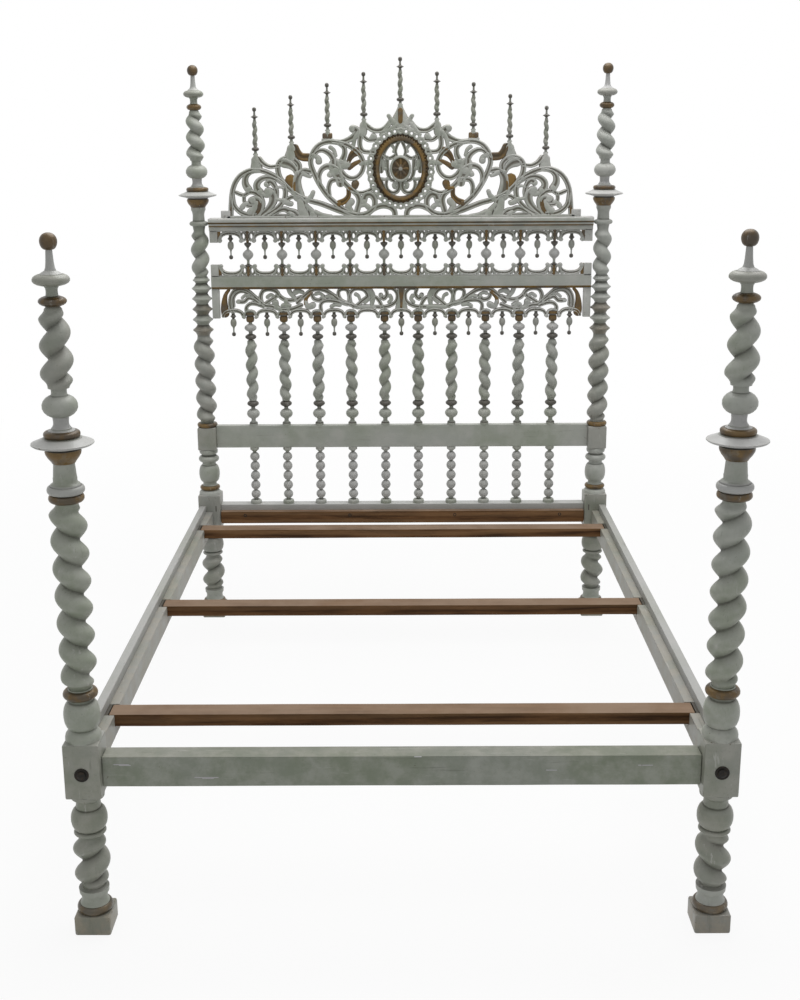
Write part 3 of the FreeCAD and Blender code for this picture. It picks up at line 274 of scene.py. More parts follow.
# ---- materials
class Net:
    # short names for making and joining shader nodes
    def __init__(self, tree):
        self.tree = tree

    def make(self, kind, inputs=None, **settings):
        node = self.tree.nodes.new(kind if kind.startswith("NodeGroup") else "ShaderNode" + kind)
        for name, setting in settings.items():
            setattr(node, name, setting)
        for name, value in (inputs or {}).items():
            socket = node.inputs[name]
            if isinstance(value, bpy.types.NodeSocket):
                self.tree.links.new(value, socket)
            else:
                socket.default_value = value
        return node

    def finish(self, out, values):
        for name, value in values.items():
            self.tree.links.new(value, out.inputs[name])

    def sums(self, operation, first, second=0.5, clamp=False):
        return self.make("Math", {0: first, 1: second}, operation=operation, use_clamp=clamp).outputs[0]

    def times(self, first, second, clamp=False):
        return self.sums("MULTIPLY", first, second, clamp)

    def plus(self, first, second, clamp=False):
        return self.sums("ADD", first, second, clamp)

    def mix(self, share, first, second):
        return self.make("Mix", {0: share, 6: first, 7: second}, data_type="RGBA").outputs[2]

    def noise(self, place, scale, detail, rough=0.5):
        return self.make("TexNoise", {"Vector": place, "Scale": scale, "Detail": detail,
                                      "Roughness": rough}).outputs[0]

    def ramp(self, value, low, high, start=0.0, end=1.0):
        node = self.make("MapRange", {"Value": value, "From Min": low, "From Max": high,
                                      "To Min": start, "To Max": end}, interpolation_type="SMOOTHSTEP")
        return node.outputs[0]


def colour(red, green, blue):
    # screen colour, 0 to 255, to the linear one that shaders use
    def linear(part):
        part /= 255
        return part / 12.92 if part <= 0.04045 else ((part + 0.055) / 1.055) ** 2.4
    return (linear(red), linear(green), linear(blue), 1.0)


def newGroup(name, inputs, outputs):
    group = bpy.data.node_groups.new(name, "ShaderNodeTree")
    for label, default in inputs.items():
        kind = "NodeSocketVector" if isinstance(default, tuple) else "NodeSocketFloat"
        group.interface.new_socket(name=label, in_out="INPUT", socket_type=kind).default_value = default
    for label in outputs:
        group.interface.new_socket(name=label, in_out="OUTPUT", socket_type="NodeSocketFloat")
    net = Net(group)
    return group, net, net.make("NodeGroupInput").outputs, net.make("NodeGroupOutput")


# a noise is its scale, detail and roughness; a ramp is where it starts and ends, and what it goes from and to
wearAndShadeValues = {
    "patches": (9.0, 5.0, 0.6), "fine": (85.0, 6.0, 0.7), "specks": (240.0, 4.0, 0.6), "edge": (0.51, 0.6),
    "crease": (0.49, 0.42), "upper": (0.1, 0.9), "edgeRub": 0.55, "upperRub": 0.35,
    "patchRub": (0.52, 0.7, 0.0, 0.5), "edgeChip": 0.12, "patchChip": 0.16, "chipLevel": 0.9, "chipReach": 0.2,
    "chipFade": 0.02, "hollowDirtAndShade": 0.9, "creaseDirtAndShade": 0.6, "patchDirtAndShade": (0.3, 0.62, 0.55, 1.1),
    "speckDirt": (0.6, 0.72, 0.0, 0.25), "fineHeight": 0.5, "chipHeight": -0.5, "speckHeight": 0.15,
}


def makeWearAndShadeGroup(values):
    # where paint is rubbed, chipped or dirty, and where painted shade darkens hollows and creases, from the shape
    # of the piece and three noises
    group, net, given, out = newGroup(
        "paintWearAndShade", {"Position": (0.0, 0.0, 0.0), "Hollow": 0.0, "Rubbed": 0.5, "Chipped": 0.3, "DirtAndShade": 0.5},
        ("Worn", "Chips", "GrimeAndShade", "Height"))
    place = given["Position"]
    shape = net.make("NewGeometry")
    patches = net.noise(place, *values["patches"])
    fine = net.noise(place, *values["fine"])
    specks = net.noise(place, *values["specks"])
    edge = net.ramp(shape.outputs["Pointiness"], *values["edge"])
    crease = net.ramp(shape.outputs["Pointiness"], *values["crease"])
    up = net.make("SeparateXYZ", {0: shape.outputs["Normal"]}).outputs[2]
    upper = net.ramp(up, *values["upper"])
    rubbed = net.plus(net.times(edge, values["edgeRub"]), net.times(upper, values["upperRub"]))
    rubbed = net.plus(rubbed, net.ramp(patches, *values["patchRub"]))
    worn = net.times(rubbed, given["Rubbed"], clamp=True)
    chipSeed = net.plus(fine, net.times(edge, values["edgeChip"]))
    chipSeed = net.plus(chipSeed, net.times(patches, values["patchChip"]))
    chipEdge = net.sums("SUBTRACT", values["chipLevel"], net.times(given["Chipped"], values["chipReach"]))
    chips = net.make("MapRange", {"Value": net.sums("SUBTRACT", chipSeed, chipEdge), "From Min": 0.0,
                                  "From Max": values["chipFade"]}).outputs[0]
    # painted shade: hollows and creases are darkened, partly as dirt and partly as the shade that falls in them
    grimeAndShade = net.plus(net.times(given["Hollow"], values["hollowDirtAndShade"]), net.times(crease, values["creaseDirtAndShade"]))
    grimeAndShade = net.times(grimeAndShade, net.ramp(patches, *values["patchDirtAndShade"]))
    grimeAndShade = net.plus(grimeAndShade, net.ramp(specks, *values["speckDirt"]))
    grimeAndShade = net.times(grimeAndShade, given["DirtAndShade"], clamp=True)
    height = net.plus(net.times(fine, values["fineHeight"]), net.times(chips, values["chipHeight"]))
    height = net.plus(height, net.times(specks, values["speckHeight"]))
    net.finish(out, {"Worn": worn, "Chips": chips, "GrimeAndShade": grimeAndShade, "Height": height})
    return group


grainValues = {"streaks": (4.0, 8.0, 0.62), "bend": (0.9, 2.0), "pores": (26.0, 4.0, 0.7), "open": (0.56, 0.7),
               "rings": {"Scale": 0.8, "Distortion": 6.0, "Detail": 3.0}}


def makeGrainGroup(values):
    # long streaks of wood grain along one axis, with pores
    group, net, given, out = newGroup(
        "woodGrain", {"Position": (0.0, 0.0, 0.0), "Stretch": (1.0, 12.0, 12.0)}, ("Streaks", "Rings", "Pores"))
    place = net.make("VectorMath", {0: given["Position"], 1: given["Stretch"]}, operation="MULTIPLY").outputs[0]
    streaks = net.noise(place, *values["streaks"])
    bend = net.noise(place, *values["bend"])
    wave = net.make("TexWave", {"Vector": place, **values["rings"], "Phase Offset": bend}, bands_direction="Z")
    pores = net.ramp(net.noise(place, *values["pores"]), *values["open"])
    net.finish(out, {"Streaks": streaks, "Rings": wave.outputs["Fac"], "Pores": pores})
    return group


wearAndShadeGroup = makeWearAndShadeGroup(wearAndShadeValues)
grainGroup = makeGrainGroup(grainValues)


def openNodes(owner):
    owner.use_nodes = True
    owner.node_tree.nodes.clear()
    return Net(owner.node_tree)


def startMaterial(name):
    material = bpy.data.materials.new(name)
    net = openNodes(material)
    return material, net, net.make("TexCoord").outputs["Object"]


def endMaterial(net, base, roughness, height, values, metallic=0.0, depth=0.0006):
    bumped = net.make("Bump", {"Strength": values["bump"], "Distance": depth, "Height": height})
    shader = net.make("BsdfPrincipled", {"Base Color": base, "Roughness": roughness, "Metallic": metallic,
                                         "Specular IOR Level": values["specular"], "Normal": bumped.outputs[0]})
    net.make("OutputMaterial", {"Surface": shader.outputs[0]})


paintValues = {
    "green": colour(134, 140, 124), "blue": colour(151, 154, 147), "worn": colour(182, 181, 176),
    "pale": colour(186, 183, 188), "primer": colour(84, 70, 54), "grimeAndShade": colour(50, 49, 39),
    "gold": colour(118, 92, 44), "darkGold": colour(70, 52, 26), "dark": colour(54, 46, 38), "specular": 0.45,
    "rubbed": 0.8, "chipped": 0.5, "dirtAndShade": 1.15, "giltWorn": 0.85, "bump": 0.5, "scratched": 0.55,
    "along": (9.0, 9.0, 1.2), "broad": (2.6, 4.0, 0.55), "cloud": (22.0, 5.0, 0.6), "spots": (30.0, 6.0, 0.7),
    "lines": (7.0, 7.0, 0.75), "bluer": (0.4, 0.62), "faded": (0.35, 0.7, 0.0, 0.35), "paleShare": 0.8,
    "wornShare": 0.7, "giltCloud": (0.36, 0.52, 0.88, 1.0), "giltSpots": (0.57, 0.62, 1.0), "golder": (0.36, 0.6),
    "darkShare": 0.85, "scratch": (0.6, 0.68), "streak": (0.42, 0.3), "streakShare": 0.5, "chipShare": 0.85,
    "grimeAndShadeShare": 0.75, "paintRough": 0.36, "giltRough": 0.3, "cloudRough": (0.3, 0.7, 0.0, 0.16),
    "grimeAndShadeRough": 0.2, "metal": 0.2,
}


def makePaint(name, values):
    # grey-green paint, rubbed pale on the edges, dirty and painted with shade in the hollows, with old gilding
    # where the coat says
    material, net, place = startMaterial(name)
    coat = net.make("Attribute", attribute_name="coat")
    # the coat's dark share is dark colour on some parts and painted shade where the coat is shade
    gilt, pale, dark = net.make("SeparateColor", {0: coat.outputs["Color"]}).outputs
    wearAndShade = net.make("Group", {"Position": place, "Hollow": coat.outputs["Alpha"], "Rubbed": values["rubbed"],
                              "Chipped": values["chipped"], "DirtAndShade": values["dirtAndShade"]}, node_tree=wearAndShadeGroup).outputs
    broad = net.noise(place, *values["broad"])
    cloud = net.noise(place, *values["cloud"])
    paint = net.mix(net.ramp(broad, *values["bluer"]), values["green"], values["blue"])
    paint = net.mix(net.ramp(cloud, *values["faded"]), paint, values["worn"])
    paint = net.mix(net.times(pale, values["paleShare"]), paint, values["pale"])
    paint = net.mix(net.times(wearAndShade["Worn"], values["wornShare"]), paint, values["worn"])
    spots = net.noise(place, *values["spots"])
    left = net.times(net.ramp(cloud, *values["giltCloud"]),
                     net.ramp(spots, *values["giltSpots"], values["giltWorn"]))
    gilding = net.times(left, gilt)
    gold = net.mix(net.ramp(cloud, *values["golder"]), values["darkGold"], values["gold"])
    base = net.mix(gilding, paint, gold)
    base = net.mix(net.times(dark, values["darkShare"]), base, values["dark"])
    drawn = net.make("VectorMath", {0: place, 1: values["along"]}, operation="MULTIPLY").outputs[0]
    lines = net.noise(drawn, *values["lines"])
    scratches = net.times(net.ramp(lines, *values["scratch"]), values["scratched"])
    base = net.mix(scratches, base, values["worn"])
    streaks = net.times(net.ramp(lines, *values["streak"]), values["scratched"])
    base = net.mix(net.times(streaks, values["streakShare"]), base, values["grimeAndShade"])
    base = net.mix(net.times(wearAndShade["Chips"], values["chipShare"]), base, values["primer"])
    base = net.mix(net.times(wearAndShade["GrimeAndShade"], values["grimeAndShadeShare"]), base, values["grimeAndShade"])
    roughness = net.make("Mix", {0: gilding, 2: values["paintRough"], 3: values["giltRough"]},
                         data_type="FLOAT").outputs[0]
    roughness = net.plus(roughness, net.ramp(cloud, *values["cloudRough"]))
    roughness = net.plus(roughness, net.times(wearAndShade["GrimeAndShade"], values["grimeAndShadeRough"]), clamp=True)
    endMaterial(net, base, roughness, wearAndShade["Height"], values, net.times(gilding, values["metal"]))
    return material


bareValues = {
    "light": colour(134, 104, 74), "mid": colour(104, 73, 45), "deep": colour(56, 37, 22),
    "grey": colour(136, 116, 98), "stretch": (1.0, 14.0, 14.0), "bump": 0.4, "specular": 0.12,
    "streaks": (0.34, 0.66), "rings": (0.3, 0.9), "ringShare": 0.35, "poreShare": 0.5, "stain": (6.0, 5.0, 0.6),
    "upper": (0.3, 0.95), "dusty": (0.3, 0.66, 0.45, 0.9), "shadeShare": 0.5, "roughness": (0.3, 0.7, 0.78, 0.6),
    "poreDepth": 0.4,
}


def makeBareWood(name, values):
    # planed softwood gone brown, greyer and paler on top where it has been rubbed and dusty
    material, net, place = startMaterial(name)
    grain = net.make("Group", {"Position": place, "Stretch": values["stretch"]}, node_tree=grainGroup).outputs
    base = net.mix(net.ramp(grain["Streaks"], *values["streaks"]), values["deep"], values["mid"])
    rings = net.ramp(grain["Rings"], *values["rings"])
    base = net.mix(net.times(rings, values["ringShare"]), base, values["light"])
    base = net.mix(net.times(grain["Pores"], values["poreShare"]), base, values["deep"])
    shape = net.make("NewGeometry")
    up = net.make("SeparateXYZ", {0: shape.outputs["Normal"]}).outputs[2]
    stain = net.noise(place, *values["stain"])
    coat = net.make("Attribute", attribute_name="coat")
    shaded = net.make("SeparateColor", {0: coat.outputs["Color"]}).outputs[2]
    dusty = net.times(net.ramp(up, *values["upper"]), net.ramp(stain, *values["dusty"]))
    base = net.mix(dusty, base, values["grey"])
    base = net.mix(net.times(shaded, values["shadeShare"]), base, values["deep"])
    roughness = net.ramp(grain["Streaks"], *values["roughness"])
    height = net.sums("SUBTRACT", grain["Streaks"], net.times(grain["Pores"], values["poreDepth"]))
    endMaterial(net, base, roughness, height, values)
    return material


ironValues = {"black": colour(22, 20, 16), "rust": colour(46, 37, 27), "bump": 0.4, "specular": 0.22,
              "spots": (160.0, 6.0, 0.65), "rusty": (0.46, 0.66), "roughness": (0.3, 0.7, 0.3, 0.6)}


def makeIron(name, values):
    material, net, place = startMaterial(name)
    spots = net.noise(place, *values["spots"])
    base = net.mix(net.ramp(spots, *values["rusty"]), values["black"], values["rust"])
    endMaterial(net, base, net.ramp(spots, *values["roughness"]), spots, values)
    return material


# lit and shaded copies of the paint: painted light makes the headboard boards and the carving lighter, painted
# shade makes the foot rail darker; the carving's stronger rubbing is partly wear
litBoardValues = dict(paintValues, green=colour(145, 151, 137), blue=colour(159, 162, 155), along=(0.8, 14.0, 14.0),
                   scratched=0.6, specular=0.2)
shadedFrontValues = dict(paintValues, green=colour(122, 129, 112), blue=colour(131, 136, 125), along=(0.8, 14.0, 14.0),
                   scratched=0.6, rubbed=0.35, specular=0.15)
litCarvedValues = dict(paintValues, green=colour(146, 151, 138), blue=colour(160, 162, 156),
                    worn=colour(200, 199, 195), grimeAndShade=colour(62, 50, 26), rubbed=1.1, dirtAndShade=1.45,
                    along=(3.0, 3.0, 3.0), scratched=0.3, giltWorn=0.9)
sideValues = dict(paintValues, worn=colour(174, 172, 167), pale=colour(174, 171, 173), along=(14.0, 0.8, 14.0),
                  scratched=0.7, rubbed=0.3, specular=0.15)
paintedWood = makePaint("paintedWood", paintValues)
paintLitBoard = makePaint("paintLitBoard", litBoardValues)
paintShadedFront = makePaint("paintShadedFront", shadedFrontValues)
paintedSide = makePaint("paintedSide", sideValues)
carvedWoodLit = makePaint("carvedWoodLit", litCarvedValues)
bareWood = makeBareWood("bareWood", bareValues)
darkIron = makeIron("darkIron", ironValues)
print("materials made")

# ---- posts
bed = {"halfAcross": 700.0, "footY": -995.0, "headY": 995.0, "blockTop": 470, "blockHalf": 40, "legTop": 340,
       "footHalf": 41, "footTop": 48}


def turnLeg(turned, hand):
    # from the square foot up to the top of the bed block
    turned.bead(66, 40, 33, "base").line(69, 31).cove(92, 33, 29).line(104, 34).line(107, 27, "halfDark")
    turned.twist(235, 2.05, 40.5, 40.5, hand, coat="shade").line(238, 25, "shade")
    turned.bead(250, 36, 26, "shade").bead(303, 40.5, 27, "shade").cove(330, 37, 27, "shade")
    turned.line(bed["legTop"], 38, "shade").block(bed["blockTop"], bed["blockHalf"])
    turned.restart(bed["blockTop"] - 1, bed["blockHalf"] - 0.4)


def startPost(x, y):
    skin = Skin()
    half = bed["footHalf"]
    skin.box((x - half, y - half, 0), (x + half, y + half, bed["footTop"]), 5, "foot", cuts=2, wave=1.2)
    return skin, Turning(skin, x, y, bed["footTop"] - 1, 34, "base")


footPost = {"lobe": 39.5, "groove": 0.52, "turns": 6.75, "ball": 40, "ring": 38}


def makeFootPost(name, side, legHand, hand, values):
    x, y = side * bed["halfAcross"], bed["footY"]
    skin, turned = startPost(x, y)
    turnLeg(turned, legHand)
    turned.lines(0, "paint", (477, 39.6), (484, 38), (490, 34), (494, 29), (496, 27))
    turned.bead(560, values["ball"], 26).line(566, 25)
    turned.bead(588, values["ring"], 27, "oldGilt").line(590, 26)
    turned.twist(1006, values["turns"], values["lobe"], values["lobe"], hand, values["groove"])
    turned.line(1010, 26).bead(1029, 37.5, 31, "oldGilt").bead(1047, 39.5, 33, "halfPale")
    turned.line(1050, 31, "halfPale").cove(1066, 24.5, 25).line(1097, 22).close()
    skin.make(name, paintedWood, weighted=True)


makeFootPost("foot_post_left", -1, 1, -1, footPost)
makeFootPost("foot_post_right", 1, -1, 1, footPost)

headPost = {"lobe": 36.5, "groove": 0.52, "turns": 5.1, "highLobe": 31.7, "highTurns": 2.6, "cone": 36}


def makeHeadPost(name, side, legHand, lowHand, highHand, values):
    x, y = side * bed["halfAcross"], bed["headY"]
    skin, turned = startPost(x, y)
    turnLeg(turned, legHand)
    low, high = sorted((side * 674, side * 678))
    skin.box((low, y - 40.4, 411), (high, y - 38, 432), 0.3, "dark")
    turned.line(476, 39.2).line(482, 35).line(486, 28.5).bead(502, 36, 27, "oldGilt").cove(516, 26, 24)
    turned.bead(578, 37, 25).cove(590, 26, 24).bead(612, 36.5, 26).line(618, 25).bead(637, 33, 31)
    turned.block(719, 33).restart(719, 31)
    turned.bead(735, values["cone"], 27, "oldGilt")
    turned.twist(1047, values["turns"], values["lobe"], values["lobe"], lowHand, values["groove"], coat="shade")
    turned.line(1051, 22, "halfDark")
    for index, level in enumerate((1088, 1124, 1161, 1198, 1233)):
        turned.disc(level, values["cone"] - 0.4 * index, 20, "stain" if index in (0, 2) else "paint")
    turned.disc(1256, 30, 22)
    turned.twist(1415, values["highTurns"], values["highLobe"], values["highLobe"], highHand, values["groove"])
    turned.line(1431, 22).bead(1448, 32.5, 21).cove(1486, 25, 20).line(1495, 25).close()
    skin.make(name, paintedWood, weighted=True)


makeHeadPost("head_post_left", -1, 1, -1, 1, headPost)
makeHeadPost("head_post_right", 1, -1, 1, -1, headPost)


def makeCollar(name, x, y, low):
    skin = Skin()
    turned = Turning(skin, x, y, low, 24, "oldGilt").close()
    turned.lines(low, "oldGilt", (5, 27), (12, 32.6), (19, 36.4), (25, 37.8), (28.6, 36.4))
    turned.line(low + 31, 33, "dark")
    turned.lines(low, "halfPale", (35, 45), (39, 62), (41.5, 65), (43.5, 64.6), (46, 58), (53, 41))
    turned.line(low + 55, 35, "halfDark").bead(low + 69, 38, 28, "brown", 0.9)
    turned.line(low + 72, 22, "halfPale").close()
    skin.make(name, paintedWood)


def makeUpper(name, x, y, low, high, values, hand, coat="paint"):
    skin = Skin()
    turned = Turning(skin, x, y, low - 6, 20)
    turned.line(low + 2, 21).cove(low + 26, 17, 16, "halfPale").bead(low + 71, 37, 18, flat=1.3)
    turned.cove(low + 86, 16.5, 16)
    turned.twist(high - 45, values["turns"], values["lobe"], values["endLobe"], hand, values["groove"], coat=coat)
    turned.line(high - 40, 14, coat).bead(high - 19, values["ring"], 13, "brown", 1.3).cove(high, 14, 12).close()
    skin.make(name, paintedWood)


def makeFinial(name, x, y, low, bead, ball):
    skin = Skin()
    turned = Turning(skin, x, y, low - 2, 14, "pale", 36)
    turned.line(low + 1, 15).bead(low + 25, bead, bead * 0.6, "shade", 1.1)
    turned.lines(low, "halfPale", (28, bead * 0.5), (32, 12), (38, 9.6), (50, 8.2), (73, 6.8))
    turned.bead(low + 107.5, ball, 1.5, "ball", 1.0, 16).close()
    skin.make(name, paintedWood, "pale_wood")


footUpper = {"lobe": 36.5, "endLobe": 30, "turns": 2.85, "groove": 0.58, "ring": 29}
headUpper = {"lobe": 33.5, "endLobe": 29, "turns": 3.05, "groove": 0.58, "ring": 25}
for side, word in ((-1, "left"), (1, "right")):
    x = side * bed["halfAcross"]
    makeCollar("foot_collar_" + word, x, bed["footY"], 1096)
    makeUpper("foot_upper_" + word, x, bed["footY"], 1168, 1462, footUpper, 1, "shade" if side < 0 else "paint")
    makeFinial("foot_finial_" + word, x, bed["footY"], 1462, 38, 17.8)
    makeCollar("head_collar_" + word, x, bed["headY"], 1494)
    makeUpper("head_upper_" + word, x, bed["headY"], 1566, 1858, headUpper, -1)
    makeFinial("head_finial_" + word, x, bed["headY"], 1858, 34, 18)
print("posts made")

# ---- bed rails, cleat, slats and iron
railValues = {"top": 432, "side": (687, 735), "lip": 712, "shelf": 410, "bearing": 703, "slatBottom": 378,
              "slats": ((-750, -690), (-17, 43), (732, 792)), "reach": 955, "bottom": 352}


def makeSideRail(name, side, values):
    skin = Skin()

    def part(xLow, xHigh, yLow, yHigh, zLow, zHigh, coat="paint", cuts=1, wave=0.0, bevel=1.6):
        low, high = sorted((side * xLow, side * xHigh))
        skin.box((low, yLow, zLow), (high, yHigh, zHigh), bevel, coat, cuts, wave)

    (inner, outer), reach, bottom = values["side"], values["reach"], values["bottom"]
    part(values["lip"], outer, -reach, reach, bottom, values["top"], "halfPale", 24, 0.7, 2.4)
    start = -reach
    for low, high in values["slats"] + ((reach, reach),):
        part(inner, values["lip"] + 0.6, start, low - 1, bottom, values["shelf"], "tan", 10, 0.5, 2.0)
        if low < reach:
            # the notch of a slat, with its end painted dark as the shade in the gap
            part(values["bearing"] + 0.8, values["lip"] + 0.6, low - 2, high + 2, bottom + 1,
                 values["shelf"] - 0.4, "dark")
            part(inner + 0.5, values["bearing"] + 1, low - 2, high + 2, bottom + 0.3,
                 values["slatBottom"] - 0.6, "tan")
        start = high + 1
    skin.make(name, paintedSide, weighted=True)


makeSideRail("side_rail_left", -1, railValues)
makeSideRail("side_rail_right", 1, railValues)


def makeBoard(name, low, high, material, coat="paint", wave=0.6, cuts=20, bevel=1.8, slot="painted_wood",
              body="frame", strip=None):
    skin = Skin()
    skin.box(low, high, bevel, coat, cuts, wave)
    if strip:
        skin.box(*strip, 0.8, "oldGilt")
    skin.make(name, material, slot, body, weighted=True)


# scratches are each from one x to another, at a level
footRail = {"low": (-660, -1013, 360), "high": (660, -963, 432), "shadeAbove": 431,
            "scratchDepths": (-1013.3, -1011.6), "scratchHeight": 2.2,
            "scratches": ((-634, -600, 413), (-622, -596, 411), (-457, -404, 381), (-440, -414, 378.6),
                          (28, 44, 429), (318, 342, 396), (520, 552, 407))}
skin = Skin()
skin.box(footRail["low"], footRail["high"], 2.4, "paint", 26, 1.0)
# painted shade makes its top a little darker than its front
skin.coats = [(*coats["shade"], 0.0) if point[2] > footRail["shadeAbove"] else coat
              for coat, point in zip(skin.coats, skin.points)]
for xLow, xHigh, level in footRail["scratches"]:
    near, far = footRail["scratchDepths"]
    skin.box((xLow, near, level), (xHigh, far, level + footRail["scratchHeight"]), 0.5, "pale")
skin.make("foot_rail", paintShadedFront, weighted=True)
makeBoard("head_rail", (-660, 973, 366), (660, 1017, 432), paintLitBoard, "halfPale")
makeBoard("wide_rail", (-667, 982, 643), (667, 1008, 724), paintLitBoard)
makeBoard("arcade_rail", (-664, 980, 1216), (664, 1010, 1256), paintLitBoard, wave=0.5,
          strip=((-663, 979.3, 1216.4), (663, 981.5, 1221)))
makeBoard("top_rail", (-664, 977, 1416), (664, 1013, 1458), carvedWoodLit, wave=0.4)
makeBoard("head_cleat", (-658, 947, 368), (658, 973, 412), bareWood, wave=0.9, slot="bare_wood")
for word, (yLow, yHigh) in zip(("foot", "mid", "head"), railValues["slats"]):
    makeBoard("slat_" + word, (-702, yLow + 0.5, 378.5), (702, yHigh - 0.5, 410), bareWood,
              "shade" if word == "mid" else "paint", 1.4, 22, 2.6, "bare_wood", "slat_" + word)


def layDisc(skin, centre, profile, segments=24):
    # a round thing that lies along the bed: profile is a list of (distance along it, radius)
    x, y, z = centre
    turns = [2 * math.pi * index / segments for index in range(segments)]
    skin.loft([[skin.add((x + radius * math.cos(turn), y + along, z + radius * math.sin(turn)), "paint")
                for turn in turns] for along, radius in profile])


ironParts = {
    "across": 700, "level": 400, "shank": [(2, 5), (130, 5)], "nuts": (711, 925), "nutHalf": (8, 4.5),
    "head": [(0, 6), (0, 16), (-1.4, 16), (-2.4, 14.6), (-1.8, 12.6), (-2.0, 10.4), (-4.6, 9.6), (-6.6, 6.6),
             (-7.4, 3.2), (-7.6, 1)],
    "screws": (-570, -190, 190, 570), "screwHead": [(1.5, 6), (0.3, 6), (0, 5.4), (0.5, 3), (1.2, 1)],
}
skin = Skin()
for side in (-1, 1):
    for y, facing in ((bed["footY"] - 40, 1), (bed["headY"] + 40, -1)):
        centre = (side * ironParts["across"], y, ironParts["level"])
        for form, segments in (("head", 24), ("shank", 12)):
            layDisc(skin, centre, [(along * facing, radius) for along, radius in ironParts[form]], segments)
skin.make("bed_bolts", darkIron, "dark_iron")

skin = Skin()
for side in (-1, 1):
    for end in (-1, 1):
        x, y = side * ironParts["nuts"][0], end * ironParts["nuts"][1]
        (wide, thick), level = ironParts["nutHalf"], ironParts["level"]
        skin.box((x - wide, y - thick, level - wide), (x + wide, y + thick, level + wide), 1, "paint")
skin.make("bolt_nuts", darkIron, "dark_iron")

skin = Skin()
for x in ironParts["screws"]:
    layDisc(skin, (x, 946.8, 398), ironParts["screwHead"], 16)
skin.make("cleat_screws", darkIron, "dark_iron")
print("rails and slats made")

# ---- headboard turnings
headboard = {"bay": 118.5, "y": 995.0}
feet = [(index - 4.5) * headboard["bay"] for index in range(10)]
middles = [(index - 5) * headboard["bay"] for index in range(11)]

for index, x in enumerate(feet):
    name = "spindle_%02d" % (index + 1)
    skin = Skin()
    turned = Turning(skin, x, headboard["y"], 722, 15, "paint", 26, 14)
    turned.line(731, 15).line(735, 13, "dark").cove(750, 9, 7.5).bead(783, 23, 8, flat=1.3)
    turned.cove(792, 9, 7, "halfDark").bead(814, 21, 9, "dark", 1.7)
    hand = 1 if index % 2 == 0 else -1
    turned.twist(1029, 4.1, 21.7, 21.7, hand, 0.54, 0.6).line(1033, 8).bead(1054, 20, 7, "dark", 1.7)
    turned.line(1062, 7, "halfDark").bead(1089, 21.5, 7, "halfPale", 1.7).line(1095, 6)
    turned.bead(1117, 14.5, 11, "brown", 0.7).line(1119, 16.2, "dark").line(1123, 16.2, "dark")
    turned.line(1131, 15.4, "oldGilt").line(1133, 9, "dark")
    turned.close()
    skin.make(name, paintedWood)

skin = Skin()
for x in feet:
    turned = Turning(skin, x, headboard["y"], 431, 19, "paint", 22)
    turned.bead(447, 20, 8, flat=0.5).line(451, 7)
    for level in (483, 518, 554, 590, 624):
        turned.bead(level - 1, 17.2, 6.5, "halfPale", 1.6).line(level + 1, 6, "halfDark")
    turned.line(629, 10).line(634, 15.7).line(643, 15.7).close()
skin.make("lower_spindles", paintedWood)


def addDrop(skin, x, top, length=88.0):
    turned = Turning(skin, x, headboard["y"], top - length, 1.5, "dark", 18)
    turned.bead(top - length + 14, 7, 2.6, "dark", 0.9).line(top - length + 26, 2.6)
    turned.line(top - length + 33, 4.4, "paint").bead(top - length + 62, 11, 4, "shade", 1.15)
    turned.line(top - 24, 5, "dark").disc(top - 10, 10.4, 5.5, "dark", 0.45).line(top, 5.5, "dark").close()


for name, top in (("upper_drops", 1404), ("valance_drops", 1134)):
    skin = Skin()
    for index, x in enumerate(middles):
        if name == "upper_drops" or index != 4:
            addDrop(skin, x, top)
    skin.make(name, paintedWood, "gilded_wood")

skin = Skin()
for x in feet:
    turned = Turning(skin, x, headboard["y"], 1284, 5, "oldGilt", 20)
    turned.disc(1300, 12.4, 5, "dark", 0.7).cove(1314, 6, 4.5).bead(1350, 18.8, 4, "halfPale", 2.0, 12)
    turned.line(1356, 4).line(1366, 12, "dark").line(1372, 12.4, "dark").line(1375, 4, "dark")
    turned.line(1388, 3.4, "oldGilt").close()
skin.make("arcade_balusters", paintedWood, "gilded_wood")

crestSeats = [374, 326, 291, 252, 213]
skin = Skin()
for k in range(-4, 5):
    x, foot = k * 124.0, 1458 + crestSeats[abs(k)]
    turned = Turning(skin, x, headboard["y"], foot - 1, 9, "paint", 18, 10)
    turned.line(foot + 3, 8).cove(foot + 11, 4.5, 5).bead(foot + 25, 12.9, 4.5, "dark", 1.25)
    turned.twist(foot + 113, 3.0, 9.6, 8.6, 1 if k <= 0 else -1, 0.5, coat="shade")
    turned.line(foot + 118, 4, "halfDark").disc(foot + 131, 12.9, 3.6, "dark").line(foot + 142, 3.2, "halfDark")
    turned.bead(foot + 156.5, 6.9, 0.8, "dark").close()
skin.make("crest_finials", paintedWood, "gilded_wood")
print("turnings of the headboard made")


# ---- carving
def smoothLine(points, step=4.5):
    # rounded line through the points, with a place about every step millimetres
    line = []
    count = len(points)
    for index in range(count - 1):
        a = Vector(points[max(index - 1, 0)])
        b, c = Vector(points[index]), Vector(points[index + 1])
        d = Vector(points[min(index + 2, count - 1)])
        parts = max(2, round((c - b).length / step))
        for part in range(parts):
            t = part / parts
            line.append(0.5 * (2 * b + (c - a) * t + (2 * a - 5 * b + 4 * c - d) * t * t
                               + (3 * b - a - 3 * c + d) * t ** 3))
    line.append(Vector(points[-1]))
    return line


